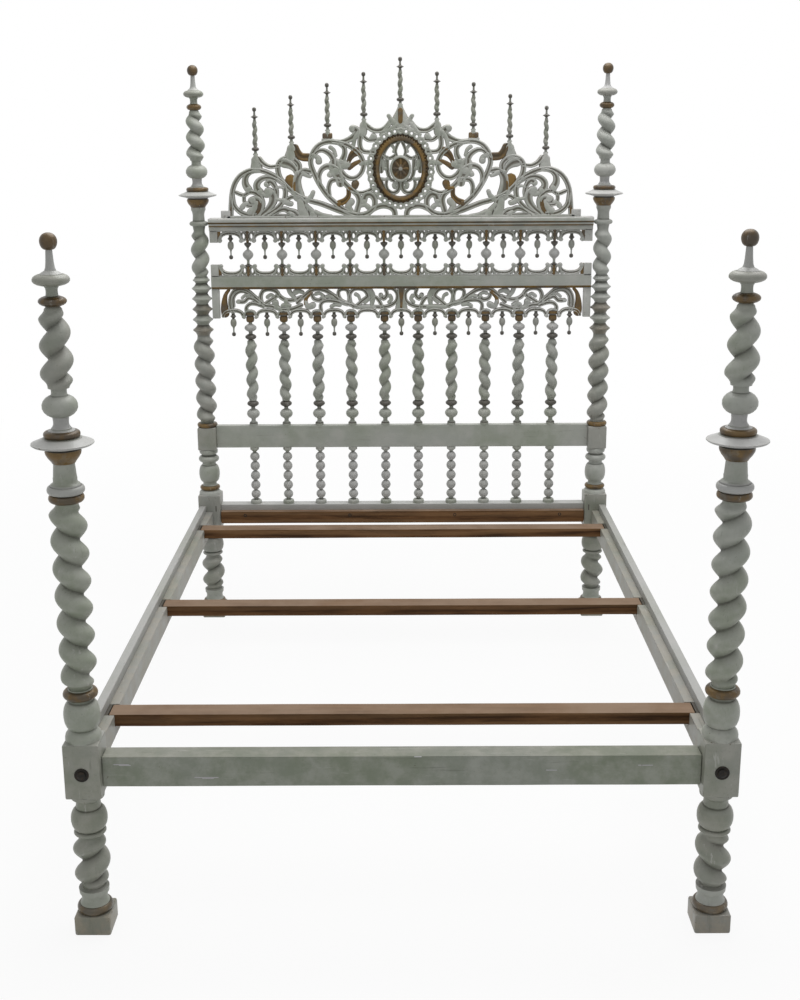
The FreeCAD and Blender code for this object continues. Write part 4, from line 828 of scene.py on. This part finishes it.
# across the stem (from the outer edge at -1 to the inner at 1), then depth behind the front and the hollow
channel = [(-1, 4.0, 0.3), (-0.86, 1.0, 0), (-0.62, 0.0, 0), (-0.36, 1.0, 0.1), (-0.1, 3.0, 0.9),
           (0.24, 2.8, 0.8), (0.5, 1.0, 0.1), (0.74, 0.8, 0), (0.9, 1.8, 0), (1, 4.6, 0.4)]
crown = [(-1, 4.0, 0.3), (-0.86, 1.6, 0), (-0.5, 0.3, 0), (0, 0.0, 0), (0.5, 0.3, 0), (0.86, 1.6, 0),
         (1, 4.0, 0.3)]


# share of a button's radius, depth and hollow
eyeProfile = [(1.0, 3.0, 0.6), (0.93, 1.2, 0), (0.75, 0.2, 0), (0.45, -0.3, 0), (0.12, -0.5, 0)]
carvingValues = {"capTurns": (1.25, 0.8, 0.4), "capSink": 1.2, "leastLift": 0.2, "liftStep": 0.37,
                 "liftRange": 1.4, "backStep": 0.29, "channelWidth": 8, "sideHollow": 0.4, "eyeSides": 14,
                 "deepAt": 5.0}


class Carving:
    # a sawn board carved on its front; the front plane faces the foot of the bed
    def __init__(self, front, thickness, level, swell=1.0):
        self.skin = Skin()
        self.front, self.thickness, self.level, self.swell = front, thickness, level, swell
        self.count = 0

    def station(self, centre, way, half, profile, coat, lift, sink):
        # one cut across a stem, from its back edge round the front to the other back edge
        across = Vector((way.y, -way.x))
        back = self.front + self.thickness - 0.1 - self.count * carvingValues["backStep"] % 1.0
        cut = [(-1, back, coat, carvingValues["sideHollow"])]
        for share, depth, hollow in profile:
            cut.append((share, self.front + lift + depth * min(1.0, half / carvingValues["deepAt"]) + sink,
                        "rim" if coat == "paint" and abs(share) == 1 else coat, hollow))
        cut.append((1, back, coat, carvingValues["sideHollow"]))
        ring = []
        for share, y, edgeCoat, hollow in cut:
            x, z = centre + across * half * share
            ring.append(self.skin.add((x, y, self.level + z), edgeCoat, hollow))
        return ring

    def stem(self, points, startWidth, endWidth, coat="paint", profile=None, lift=None):
        # a rounded ribbon along the points; lift and back differ a little from stem to stem, so that no two faces
        # lie in one plane
        line = smoothLine(points)
        total = len(line) - 1
        start, end = startWidth * self.swell / 2, endWidth * self.swell / 2
        ways = [(line[min(i + 1, total)] - line[max(i - 1, 0)]).normalized() for i in range(total + 1)]
        side = 1 if sum(ways[i].cross(ways[i + 1]) for i in range(total)) < 0 else -1
        if profile is None:
            wide = max(start, end) * 2 > carvingValues["channelWidth"]
            profile = channel if wide and len(points) > 3 else crown
        self.count += 1
        if lift is None:
            lift = carvingValues["leastLift"] + self.count * carvingValues["liftStep"] % carvingValues["liftRange"]
        cuts = [(place, way, start + (end - start) * smoothStep(index / total), 0.0)
                for index, (place, way) in enumerate(zip(line, ways))]
        for turn in reversed(carvingValues["capTurns"]):
            sink = carvingValues["capSink"] * math.sin(turn)
            cuts.insert(0, (line[0] - ways[0] * start * math.sin(turn), ways[0], start * math.cos(turn), sink))
            cuts.append((line[-1] + ways[-1] * end * math.sin(turn), ways[-1], end * math.cos(turn), sink))
        self.skin.loft([self.station(place, side * way, half, profile, coat, lift, sink)
                        for place, way, half, sink in cuts])

    def eye(self, x, z, radius, coat="paint", rise=0.0):
        # round button at the heart of a curl
        self.count += 1
        back = self.thickness - self.count * carvingValues["backStep"] % 1.0
        rings = []
        for reach, depth, hollow in [(1.0, back, 0)] + eyeProfile:
            ring = []
            for index in range(carvingValues["eyeSides"]):
                turn = 2 * math.pi * index / carvingValues["eyeSides"]
                ring.append(self.skin.add((x + radius * reach * math.cos(turn), self.front + max(depth - rise, 0.0),
                                           self.level + z + radius * reach * math.sin(turn)), coat, hollow))
            rings.append(ring)
        self.skin.loft(rings)

    def panel(self, xs, zs, coat="paint", sunk=0.0, bevel=1.0):
        (xLow, xHigh), (zLow, zHigh) = sorted(xs), sorted(zs)
        self.skin.box((xLow, self.front + sunk, self.level + zLow),
                      (xHigh, self.front + self.thickness, self.level + zHigh), bevel, coat)

    def both(self, strokes):
        # strokes of the right half, each drawn on both sides
        for points, *rest in strokes:
            for side in (-1, 1):
                self.stem([(side * x, z) for x, z in points], *rest)

    def eyes(self, places, coat="paint", rise=0.0):
        for x, z, radius in places:
            self.eye(-x, z, radius, coat, rise)
            self.eye(x, z, radius, coat, rise)

    def make(self, name):
        self.skin.make(name, carvedWoodLit, sharp=50)


crestStems = [
    ([(588, 3), (585, 52), (578, 97), (563, 129), (541, 150), (512, 161), (482, 160), (453, 151),
      (427, 137), (403, 118), (379, 94), (352, 74), (311, 57), (278, 48), (246, 36), (210, 22),
      (176, 13), (143, 8), (116, 13), (97, 27), (75, 37), (54, 39), (34, 33), (22, 20), (20, 3)], 11, 13),
    ([(523, 95), (534, 114), (533, 135), (519, 151), (495, 158)], 17, 8),
    ([(484, 88), (495, 101), (493, 118), (477, 132), (453, 136), (427, 128), (401, 112)], 16, 9),
    ([(580, 75), (575, 43), (558, 22), (534, 11), (506, 9)], 10, 12),
    ([(567, 86), (541, 77), (521, 87), (499, 84), (482, 67), (478, 43), (493, 12)], 9, 14),
    ([(539, 77), (541, 60), (534, 43), (517, 39)], 8, 8),
    ([(512, 56), (495, 60), (484, 43), (501, 11)], 22, 18),
    ([(455, 88), (440, 75), (442, 52), (460, 28), (484, 9)], 22, 12),
    ([(460, 114), (449, 122), (436, 112), (427, 88), (429, 60)], 14, 9),
    ([(401, 109), (397, 88), (401, 64), (416, 43), (438, 24), (466, 8)], 12, 11),
    ([(427, 101), (416, 104), (403, 101)], 6, 6),
    ([(427, 64), (414, 60), (403, 62)], 7, 7),
    ([(398, 56), (377, 70), (352, 68), (333, 52), (328, 28), (335, 6)], 10, 12),
    ([(403, 58), (387, 49), (379, 47)], 14, 12),
    ([(455, 6), (427, 22), (403, 29), (385, 22), (368, 18), (357, 7)], 9, 16),
    ([(496, 209), (496, 202), (495, 192)], 9, 15),
    ([(496, 194), (495, 184), (494, 170)], 20, 27),
    ([(484, 199), (469, 182), (447, 172), (420, 175)], 12, 9),
    ([(401, 117), (414, 135), (421, 159), (419, 180), (405, 196), (383, 202), (363, 195), (348, 178),
      (348, 159)], 12, 12),
    ([(398, 186), (380, 180), (364, 166), (356, 150)], 24, 12),
    ([(372, 248), (372, 240), (373, 230)], 9, 15),
    ([(373, 232), (374, 222), (377, 206)], 20, 26),
    ([(360, 236), (351, 217), (338, 205), (316, 203)], 16, 19, "oldGilt"),
    ([(352, 74), (358, 97), (358, 124), (348, 146), (331, 159), (310, 156)], 28, 11),
    ([(333, 150), (320, 142), (311, 139)], 12, 8),
    ([(379, 129), (372, 112), (366, 92)], 24, 8, "gilt"),
    ([(157, 9), (191, 24), (222, 46), (254, 76), (280, 114), (299, 154), (308, 187), (299, 220),
      (278, 244), (249, 254), (217, 252), (184, 244), (155, 227), (136, 206), (127, 180), (133, 154),
      (150, 136), (172, 132), (191, 142), (205, 159)], 12, 11),
    ([(213, 251), (193, 234), (192, 211), (203, 188)], 10, 14),
    ([(304, 199), (287, 220), (266, 226), (244, 215), (232, 199), (230, 180)], 8, 14),
    ([(299, 211), (283, 201), (280, 189)], 9, 15),
    ([(279, 119), (280, 142), (270, 163), (251, 173), (229, 168), (215, 158)], 10, 16),
    ([(242, 145), (229, 154), (215, 159)], 14, 20),
    ([(224, 176), (219, 154), (209, 130), (207, 116)], 32, 19),
    ([(246, 76), (248, 102), (239, 123), (222, 128), (206, 126)], 10, 12),
    ([(205, 133), (189, 112), (167, 93), (148, 74), (143, 53), (152, 20)], 12, 14),
    ([(179, 99), (162, 100), (156, 114)], 8, 18, "gilt"),
    ([(180, 95), (180, 74), (193, 57), (213, 48)], 10, 15, "gilt"),
    ([(172, 53), (181, 39), (172, 22)], 18, 12),
    ([(128, 55), (121, 74), (104, 77), (91, 62), (91, 39), (104, 20), (126, 10)], 16, 11),
    ([(172, 95), (143, 83), (114, 88), (93, 100)], 8, 10),
    ([(146, 222), (162, 214), (174, 198), (180, 180)], 20, 9, "oldGilt"),
    ([(136, 190), (155, 182), (176, 168)], 9, 12, "oldGilt"),
    ([(203, 173), (186, 178)], 16, 22),
    ([(136, 182), (118, 184), (104, 184)], 11, 12),
    ([(248, 288), (248, 280), (249, 272)], 9, 14),
    ([(124, 324), (124, 316), (125, 306)], 9, 15),
    ([(125, 308), (126, 298), (129, 284)], 18, 20),
    ([(121, 312), (95, 293), (70, 291), (51, 300), (34, 319)], 12, 12),
    ([(129, 291), (127, 274), (111, 260), (92, 259), (70, 263)], 10, 9),
    ([(102, 265), (92, 271)], 8, 16),
    ([(133, 291), (138, 263), (138, 239), (126, 222), (95, 219)], 12, 10),
    ([(162, 297), (148, 291), (152, 277), (172, 263), (201, 254), (229, 256)], 18, 10),
    ([(140, 288), (155, 267), (162, 238)], 11, 9),
    ([(39, 338), (31, 326), (18, 314)], 9, 17),
    ([(37, 314), (54, 293), (66, 277)], 9, 9),
    ([(346, 54), (342, 30), (334, 6)], 16, 26),
    ([(298, 8), (310, 24), (326, 42)], 15, 9),
    ([(296, 20), (272, 10), (240, 5)], 9, 6),
    ([(466, 6), (430, 8), (392, 6), (366, 8)], 8, 9),
    ([(383, 16), (374, 10)], 10, 12),
    ([(584, 34), (590, 18), (596, 6)], 8, 14, "oldGilt"),
    ([(487, 46), (488, 30), (493, 18)], 16, 14, "brown"),
    ([(520, 20), (505, 34), (498, 50)], 16, 12),
    ([(548, 36), (540, 46), (528, 50)], 12, 9),
    ([(450, 84), (462, 76), (474, 80)], 14, 10),
    ([(322, 60), (308, 72), (302, 86)], 13, 10),
    ([(112, 34), (122, 42), (136, 40)], 12, 9),
    ([(240, 236), (228, 226), (222, 208)], 9, 8),
]
crestEyes = [(523, 97, 9), (484, 88, 8.5), (458, 90, 11), (462, 112, 7.5), (379, 47, 7), (355, 152, 6.5),
             (310, 140, 5.5), (203, 188, 8), (280, 190, 8.5), (245, 144, 8), (126, 53, 8.5), (91, 271, 8.5),
             (164, 298, 9.5), (40, 339, 7), (306, 12, 9), (376, 10, 8), (510, 60, 11), (182, 178, 10)]
crest = {"front": 984, "thickness": 22, "level": 1458, "swell": 1.48, "half": 600, "bar": 7, "seat": 249,
         "eyeRise": 0.6}
carving = Carving(crest["front"], crest["thickness"], crest["level"], crest["swell"])
carving.both(crestStems)
carving.eyes(crestEyes, rise=crest["eyeRise"])
carving.eyes([(212, 47, 7.5), (156, 114, 9)], "gilt", crest["eyeRise"])
carving.panel((-crest["half"], crest["half"]), (0, crest["bar"]))
for side in (-1, 1):
    seat = side * crest["seat"]
    carving.panel((seat - 20, seat + 20), (256, 266), "paint", 1.4, 2.5)
    carving.panel((seat - 17, seat + 17), (262, 284), "oldGilt", 1.0, 5.0)
    carving.panel((side * 588, side * 621), (0, 25), "halfPale")
carving.stem([(0, 372), (0, 350), (0, 322)], 11, 40, "paint", crown, 0.9)
carving.stem([(0, 320), (0, 304), (0, 290)], 16, 12, "paint", crown, 1.3)
carving.both([([(10, 312), (30, 298), (52, 288)], 10, 9)])
carving.stem([(0, 356), (0, 340), (0, 322)], 13, 12, "oldGilt", crown, -1.0)


medallion = {"middle": 164, "across": 92, "up": 112, "rings": 34, "ringOut": 13.5, "ringSize": 8.4,
             "beadOut": 19, "bead": 4.6, "teeth": 60, "toothDepth": {1: 6.0, 2: 6.0, 3: 4.6, 4: 2.2},
             "panelFront": 988, "panelThickness": 14, "panelSwell": 1.3}


def ovalPoint(grow, turn, oval=medallion):
    # a place on the oval, grown outwards by some millimetres
    return (oval["across"] + grow) * math.cos(turn), oval["middle"] + (oval["up"] + grow) * math.sin(turn)


for index in range(medallion["rings"]):
    turn = 2 * math.pi * (index + 0.5) / medallion["rings"]
    x, z = ovalPoint(medallion["ringOut"], turn)
    size = medallion["ringSize"]
    loop = [(x + size * math.cos(a), z + size * math.sin(a)) for a in [turn + k * math.pi / 5 for k in range(11)]]
    carving.stem(loop, 5.4, 5.4, "paint", crown)
for index in range(medallion["rings"]):
    carving.eye(*ovalPoint(medallion["beadOut"], 2 * math.pi * index / medallion["rings"]), medallion["bead"])
for grow, width, coat, lift in ((1.0, 9.0, "brown", 9.0), (7.0, 2.4, "paint", 2.0), (21.0, 2.6, "paint", 1.6)):
    carving.stem([ovalPoint(grow, k * math.pi / 24) for k in range(49)], width, width, coat, crown, lift)
carving.make("crest_board")
print("crest carved")


def ovalShape(skin, profile, oval, coat, segments, notch=None):
    # rings of an oval: each entry of the profile gives half width, half height, depth and hollow
    last = None
    for step, (across, up, depth, hollow) in enumerate(profile):
        ring = []
        for index in range(segments):
            turn = 2 * math.pi * index / segments
            grow = notch(step, turn) if notch else 0.0
            x, z = (across + grow) * math.cos(turn), oval["middle"] + (up + grow) * math.sin(turn)
            ring.append(skin.add((x, depth, crest["level"] + z), coat, hollow))
        if last:
            skin.band(last, ring)
        last = ring


def tooth(step, turn):
    # little notches round the outside of the gilt ring
    wave = abs(math.sin(turn * medallion["teeth"] / 2))
    return -(1 - wave) * medallion["toothDepth"].get(step, 0.0)


# how far inside the ring's outer edge, its depth and its hollow
ringSteps = [(19, 1012, 0.6), (0, 1012, 0.5), (0, 986, 0.7), (3.2, 982, 0.4), (5.6, 980.6, 0.7), (7.6, 978.3, 0),
             (12.6, 978, 0), (16, 979.4, 0.2), (18.8, 983, 0.4), (19, 990, 1.0), (19, 1012, 1.0)]
skin = Skin()
ovalShape(skin, [(medallion["across"] - inside, medallion["up"] - inside, depth, hollow)
                 for inside, depth, hollow in ringSteps], medallion, "gilt", 224, tooth)
skin.make("medallion_ring", carvedWoodLit, "gilded_wood")

panelStems = [
    ([(6, 93), (28, 85), (48, 68), (61, 42), (66, 12), (67, -8)], 9, 13),
    ([(4, 92), (13, 74), (17, 58), (14, 44)], 9, 8),
    ([(18, 44), (34, 35), (48, 36), (58, 46)], 10, 9),
    ([(30, 78), (22, 66), (24, 56)], 9, 7),
    ([(47, 36), (46, 12), (44, -14), (36, -34), (26, -40)], 12, 10),
    ([(62, 22), (58, 4), (50, -2)], 14, 9),
    ([(66, -34), (54, -36), (44, -34)], 9, 8),
    ([(46, -34), (50, -52), (44, -72), (28, -82), (12, -76), (5, -60), (7, -44)], 9, 12),
    ([(64, -44), (56, -66), (40, -84), (24, -92)], 7, 8),
    ([(16, -47), (24, -54), (20, -62)], 10, 12),
]
carving = Carving(medallion["panelFront"], medallion["panelThickness"], crest["level"] + medallion["middle"],
                  medallion["panelSwell"])
carving.both(panelStems)
carving.eyes([(20, -58, 6.5), (24, 58, 5), (52, 0, 6.5), (44, -34, 6)])
carving.make("medallion_panel")

boss = {"across": 37.0, "up": 45.0, "front": 981, "thickness": 5, "petals": 8, "steps": (
    ("paint", ((1.0, 988, 0.8), (1.0, 982, 0.3), (0.95, 980, 0), (0.9, 979.2, 0), (0.84, 979.4, 0.1),
               (0.79, 981.6, 0.7))),
    ("brown", ((0.79, 981.6, 0.7), (0.72, 984, 0.9), (0.5, 985, 0.6), (0.25, 985, 0.5), (0.02, 985, 0.5))))}
rosette = Carving(boss["front"], boss["thickness"], crest["level"] + medallion["middle"])
for coat, steps in boss["steps"]:
    ovalShape(rosette.skin, [(boss["across"] * share, boss["up"] * share, depth, hollow)
                             for share, depth, hollow in steps], medallion, coat, 64)
for index in range(boss["petals"]):
    turn = 2 * math.pi * index / boss["petals"]
    way = Vector((math.cos(turn), math.sin(turn) * 1.2))
    rosette.stem([tuple(way * reach) for reach in (7, 15, 23)], 6, 11, "oldGilt", crown, 0.6)
rosette.eye(0, 0, 6.6, "tan", 1.0)
rosette.make("medallion_boss")
print("medallion made")

# ---- arcades and valance
arcadeValues = {"half": 664, "front": 986, "thickness": 18, "bar": 4, "rise": 42, "post": 637}


def makeArcade(name, level, flip, values):
    # flip 1 hangs the arches from their rail, -1 stands them on it
    carving = Carving(values["front"], values["thickness"], level)

    def stem(points, *rest):
        carving.stem([(x, flip * z) for x, z in points], *rest)

    carving.panel((-values["half"], values["half"]), (-values["bar"] * flip, 0))
    for x in middles:
        for side in (-1, 1):
            arch = [(0, -9.5), (16, -11), (30, -18), (38, -30), (40, -37)]
            stem([(x + side * out, z) for out, z in arch], 14, 10, "paint", channel, 0.2)
            carving.eye(x + side * 37, -36 * flip, 7.2)
    for x in feet:
        for side in (-1, 1):
            turns = [math.pi * (0.5 + side * k / 6) for k in range(13)]
            stem([(x + side * 13.5 + 8.5 * math.cos(turn), -21 + 13 * math.sin(turn)) for turn in turns],
                 8.6, 8.6, "paint", channel, 0.6)
            stem([(x + side * 30, -4), (x + side * 27, -13), (x + side * 23, -20)], 10, 6, "paint", crown)
            stem([(x + side * 24, -20), (x + side * 20, -30), (x + side * 11, -35)], 6, 7, "paint", crown)
        stem([(x, -2), (x, -18), (x, -38)], 12, 9, "oldGilt", crown, -0.2)
    for side in (-1, 1):
        low, high = sorted((0, -flip * values["rise"]))
        carving.panel((side * values["half"], side * values["post"]), (low, high))
        gildedEdge = (side * (values["post"] + 1), side * (values["post"] - 10))
        carving.panel(gildedEdge, (low + 0.5, high - 0.5), "oldGilt", 2.0)
        stem([(side * 630, -38), (side * 628, -26), (side * 622, -12), (side * 614, -5)], 7, 8, "paint", crown)
    carving.make(name)


makeArcade("upper_arcade", 1416, 1, arcadeValues)
makeArcade("lower_arcade", 1256, -1, arcadeValues)

valanceStems = [
    ([(594, -84), (602, -62), (600, -34), (590, -14), (578, -6), (563, -4), (538, -11), (518, -28), (497, -46),
      (479, -61), (457, -64), (432, -73), (407, -76), (380, -73), (352, -62)], 8, 9),
    ([(590, -64), (590, -36), (576, -17), (556, -12), (536, -20), (520, -34)], 7, 7),
    ([(574, -48), (552, -48), (536, -35), (516, -41), (497, -55)], 9, 8),
    ([(545, -88), (545, -68), (531, -56), (511, -56), (486, -64)], 8, 9),
    ([(491, -52), (494, -30), (484, -10), (463, -5), (443, -10), (432, -23), (450, -37), (473, -52)], 9, 9),
    ([(432, -23), (418, -37), (398, -44), (375, -42), (352, -33)], 9, 9),
    ([(443, -52), (439, -66), (425, -75)], 14, 8),
    ([(395, -3), (389, -19), (373, -37)], 10, 8),
    ([(405, -43), (405, -61), (398, -73)], 9, 9),
    ([(364, -51), (339, -27), (316, -10), (292, -5), (264, -11), (237, -28), (212, -46), (184, -58),
      (152, -70)], 9, 9),
    ([(336, -57), (334, -37), (316, -15)], 8, 9, "gilt"),
    ([(336, -47), (329, -67), (311, -62)], 7, 14),
    ([(314, -25), (306, -40), (287, -44), (274, -32)], 8, 10),
    ([(282, -82), (284, -62), (272, -48), (244, -46), (214, -52), (189, -59)], 8, 9),
    ([(204, -54), (219, -32), (219, -12), (204, -5), (189, -10), (183, -30), (182, -49), (167, -67)], 8, 9),
    ([(177, -57), (181, -27), (169, -8), (149, -4), (129, -10), (118, -30), (137, -47), (159, -67)], 8, 9),
    ([(112, -10), (100, -32), (105, -67)], 14, 9),
    ([(105, -47), (90, -35), (75, -52), (67, -72)], 8, 8),
    ([(55, -7), (50, -25), (62, -40), (72, -27)], 8, 10),
    ([(52, -5), (30, -5), (15, -22), (17, -47), (35, -62), (60, -69), (95, -69)], 7, 9),
    ([(154, -69), (124, -67), (95, -69)], 9, 9),
    ([(558, -34), (548, -26), (534, -24)], 7, 6),
    ([(470, -32), (458, -24), (448, -30)], 8, 6),
    ([(418, -62), (404, -58), (392, -62)], 8, 7),
    ([(372, -16), (360, -12), (346, -16)], 12, 8),
    ([(300, -22), (288, -20), (276, -26)], 8, 6),
    ([(262, -32), (248, -30), (238, -36)], 8, 7),
    ([(246, -66), (232, -60), (216, -62)], 8, 8),
    ([(160, -24), (150, -30), (146, -42)], 8, 6),
    ([(128, -52), (120, -46), (114, -40)], 8, 7),
    ([(40, -30), (34, -42), (44, -52)], 9, 7),
]
valance = {"front": 986, "thickness": 18, "level": 1216, "swell": 1.62, "half": 664, "post": 638, "fall": 106}
carving = Carving(valance["front"], valance["thickness"], valance["level"], valance["swell"])
carving.panel((-valance["half"], valance["half"]), (-4, 0), "oldGilt")
carving.both(valanceStems)
carving.eyes([(573, -48, 7), (497, -54, 5), (441, -52, 7), (313, -62, 7.5), (276, -33, 6), (71, -28, 6),
              (112, -12, 7)])
for x in middles:
    for side in (-1, 1):
        arch = [(0, -79), (16, -80.5), (29, -87), (35, -98)]
        carving.stem([(x + side * out, z) for out, z in arch], 8.6, 7, "paint", channel, 0.2)
for x in feet:
    for side in (-1, 1):
        carving.stem([(x + side * 21, -97), (x + side * 25, -103), (x + side * 20, -104)], 5.5, 5.5, "paint", crown)
        carving.eye(x + side * 22, -101, 6)
        carving.stem([(x + side * 3, -80), (x + side * 14, -84), (x + side * 19, -92)], 5, 5, "paint", crown)
    carving.panel((x - 15, x + 15), (-90, -85), "halfDark", 2.4)
    carving.panel((x - 13, x + 13), (-96, -88), "oldGilt", 1.6)
for side in (-1, 1):
    carving.panel((side * valance["half"], side * valance["post"]), (-valance["fall"], 0))
    bracket = [(606, -8), (617, -24), (622, -50), (622, -76), (620, -90)]
    carving.stem([(side * x, z) for x, z in bracket], 7, 17, "oldGilt", crown, 1.0)
carving.both([([(8, -6), (4, -40), (12, -72)], 8, 12, "paint", crown)])
carving.stem([(0, -4), (0, -20), (0, -66)], 14, 6, "gilt", crown, -0.1)
carving.make("valance")
print("arcades and valance carved")

# ---- cornice along the top rail: depth in front of the rail and level
corniceSteps = [(977, 1416, "paint"), (974, 1416, "paint"), (972, 1419, "paint"), (972, 1427, "paint"),
                (968, 1428, "paint"), (967.5, 1429, "oldGilt"), (966.5, 1431, "oldGilt"), (965.5, 1433, "oldGilt"),
                (964.5, 1434, "paint"), (961.5, 1436, "paint"), (961.2, 1439, "paint"), (962.2, 1440, "dark"),
                (961.6, 1441, "oldGilt"), (958, 1444.5, "oldGilt"), (956, 1445, "paint"), (953.6, 1446, "paint"),
                (953, 1448, "paint"), (953, 1455, "paint"), (954, 1457.4, "halfPale"), (977, 1457.9, "halfPale")]
cornice = {"half": 663, "cuts": 60, "sway": 0.3, "swayScale": 0.006, "darkHollow": 0.7}
skin = Skin()
rings = []
for step in range(cornice["cuts"] + 1):
    x = cornice["half"] * (2 * step / cornice["cuts"] - 1)
    ring = []
    for depth, level, coat in corniceSteps:
        sway = noise.noise(Vector((x * cornice["swayScale"], depth, 0))) * cornice["sway"]
        ring.append(skin.add((x, depth + abs(sway), level), coat, cornice["darkHollow"] if coat == "dark" else 0.0))
    rings.append(ring)
skin.loft(rings)
skin.make("cornice", carvedWoodLit, sharp=30)
print("cornice made")

# ---- room, light and camera
stageValues = {
    "floor": colour(225, 225, 224), "floorHalf": 40, "floorFade": (1.0, 5.0, 0.9, 1.0), "white": (1, 1, 1, 1),
    "world": 0.48, "worldColour": (0.98, 0.99, 1.0, 1),
    "lamps": (("ceilingLamp", (0.4, 0.75, 4.4), (0, 0.3, 0.6), (4.0, 3.4), 165),
              ("frontLamp", (-1.6, -5.0, 3.2), (0, 0, 0.9), (3.0, 2.4), 12)),
}


def startStage(owner):
    # its second result is 1 where the backdrop is seen, also in a reflection or through glass, and 0 where it
    # only lights the bed
    net = openNodes(owner)
    rays = net.make("LightPath").outputs
    mirrored = net.sums("MAXIMUM", rays["Is Glossy Ray"], rays["Is Transmission Ray"])
    return net, net.sums("MAXIMUM", rays["Is Camera Ray"], mirrored)


floorMesh = bpy.data.meshes.new("floor")
corners = [(x * stageValues["floorHalf"], y * stageValues["floorHalf"], 0)
           for x, y in ((-1, -1), (1, -1), (1, 1), (-1, 1))]
floorMesh.from_pydata(corners, [], [(0, 1, 2, 3)])
addObject("floor", floorMesh)
floorMaterial = bpy.data.materials.new("floorMaterial")
net, seen = startStage(floorMaterial)
diffuse = net.make("BsdfDiffuse", {"Color": stageValues["floor"]})
white = net.make("Emission", {"Color": stageValues["white"], "Strength": 1.0})
place = net.make("NewGeometry").outputs["Position"]
away = net.make("VectorMath", {0: place}, operation="LENGTH").outputs["Value"]
plain = net.times(seen, net.ramp(away, *stageValues["floorFade"]))
shade = net.make("MixShader", {0: plain, 1: diffuse.outputs[0], 2: white.outputs[0]})
net.make("OutputMaterial", {"Surface": shade.outputs[0]})
floorMesh.materials.append(floorMaterial)

world = bpy.data.worlds.new("studio")
bpy.context.scene.world = world
net, seen = startStage(world)
soft = net.make("Background", {"Color": stageValues["worldColour"], "Strength": stageValues["world"]})
white = net.make("Background", {"Color": stageValues["white"], "Strength": 1.0})
shade = net.make("MixShader", {0: seen, 1: soft.outputs[0], 2: white.outputs[0]})
net.make("OutputWorld", {"Surface": shade.outputs[0]})


def addLamp(name, place, target, size, power):
    lamp = bpy.data.lights.new(name, "AREA")
    lamp.shape = "RECTANGLE"
    lamp.size, lamp.size_y = size
    lamp.energy = power
    lampObject = addObject(name, lamp)
    lampObject.location = place
    lampObject.rotation_euler = (Vector(target) - Vector(place)).to_track_quat("-Z", "Y").to_euler()


for lampValues in stageValues["lamps"]:
    addLamp(*lampValues)

cameraValues = {"place": (0.0102, -3.6753, 1.7814), "pitch": 14.73, "yaw": 0.22, "roll": -0.31, "lens": 47.859,
                "shift": -0.03, "sensor": 36, "near": 0.05, "far": 200}
lens = bpy.data.cameras.new("camera")
camera = addObject("camera", lens)
bpy.context.scene.camera = camera
lens.sensor_fit = "VERTICAL"
lens.sensor_height = cameraValues["sensor"]
lens.lens = cameraValues["lens"]
lens.shift_y = cameraValues["shift"]
lens.clip_start, lens.clip_end = cameraValues["near"], cameraValues["far"]
camera.location = cameraValues["place"]
yaw, tilt, roll = (Matrix.Rotation(math.radians(angle), 3, axis) for angle, axis in (
    (cameraValues["yaw"], "Z"), (90 - cameraValues["pitch"], "X"), (cameraValues["roll"], "Z")))
camera.rotation_euler = (yaw @ tilt @ roll).to_euler()
bpy.context.scene.view_settings.view_transform = "Standard"
print("stage and camera set")
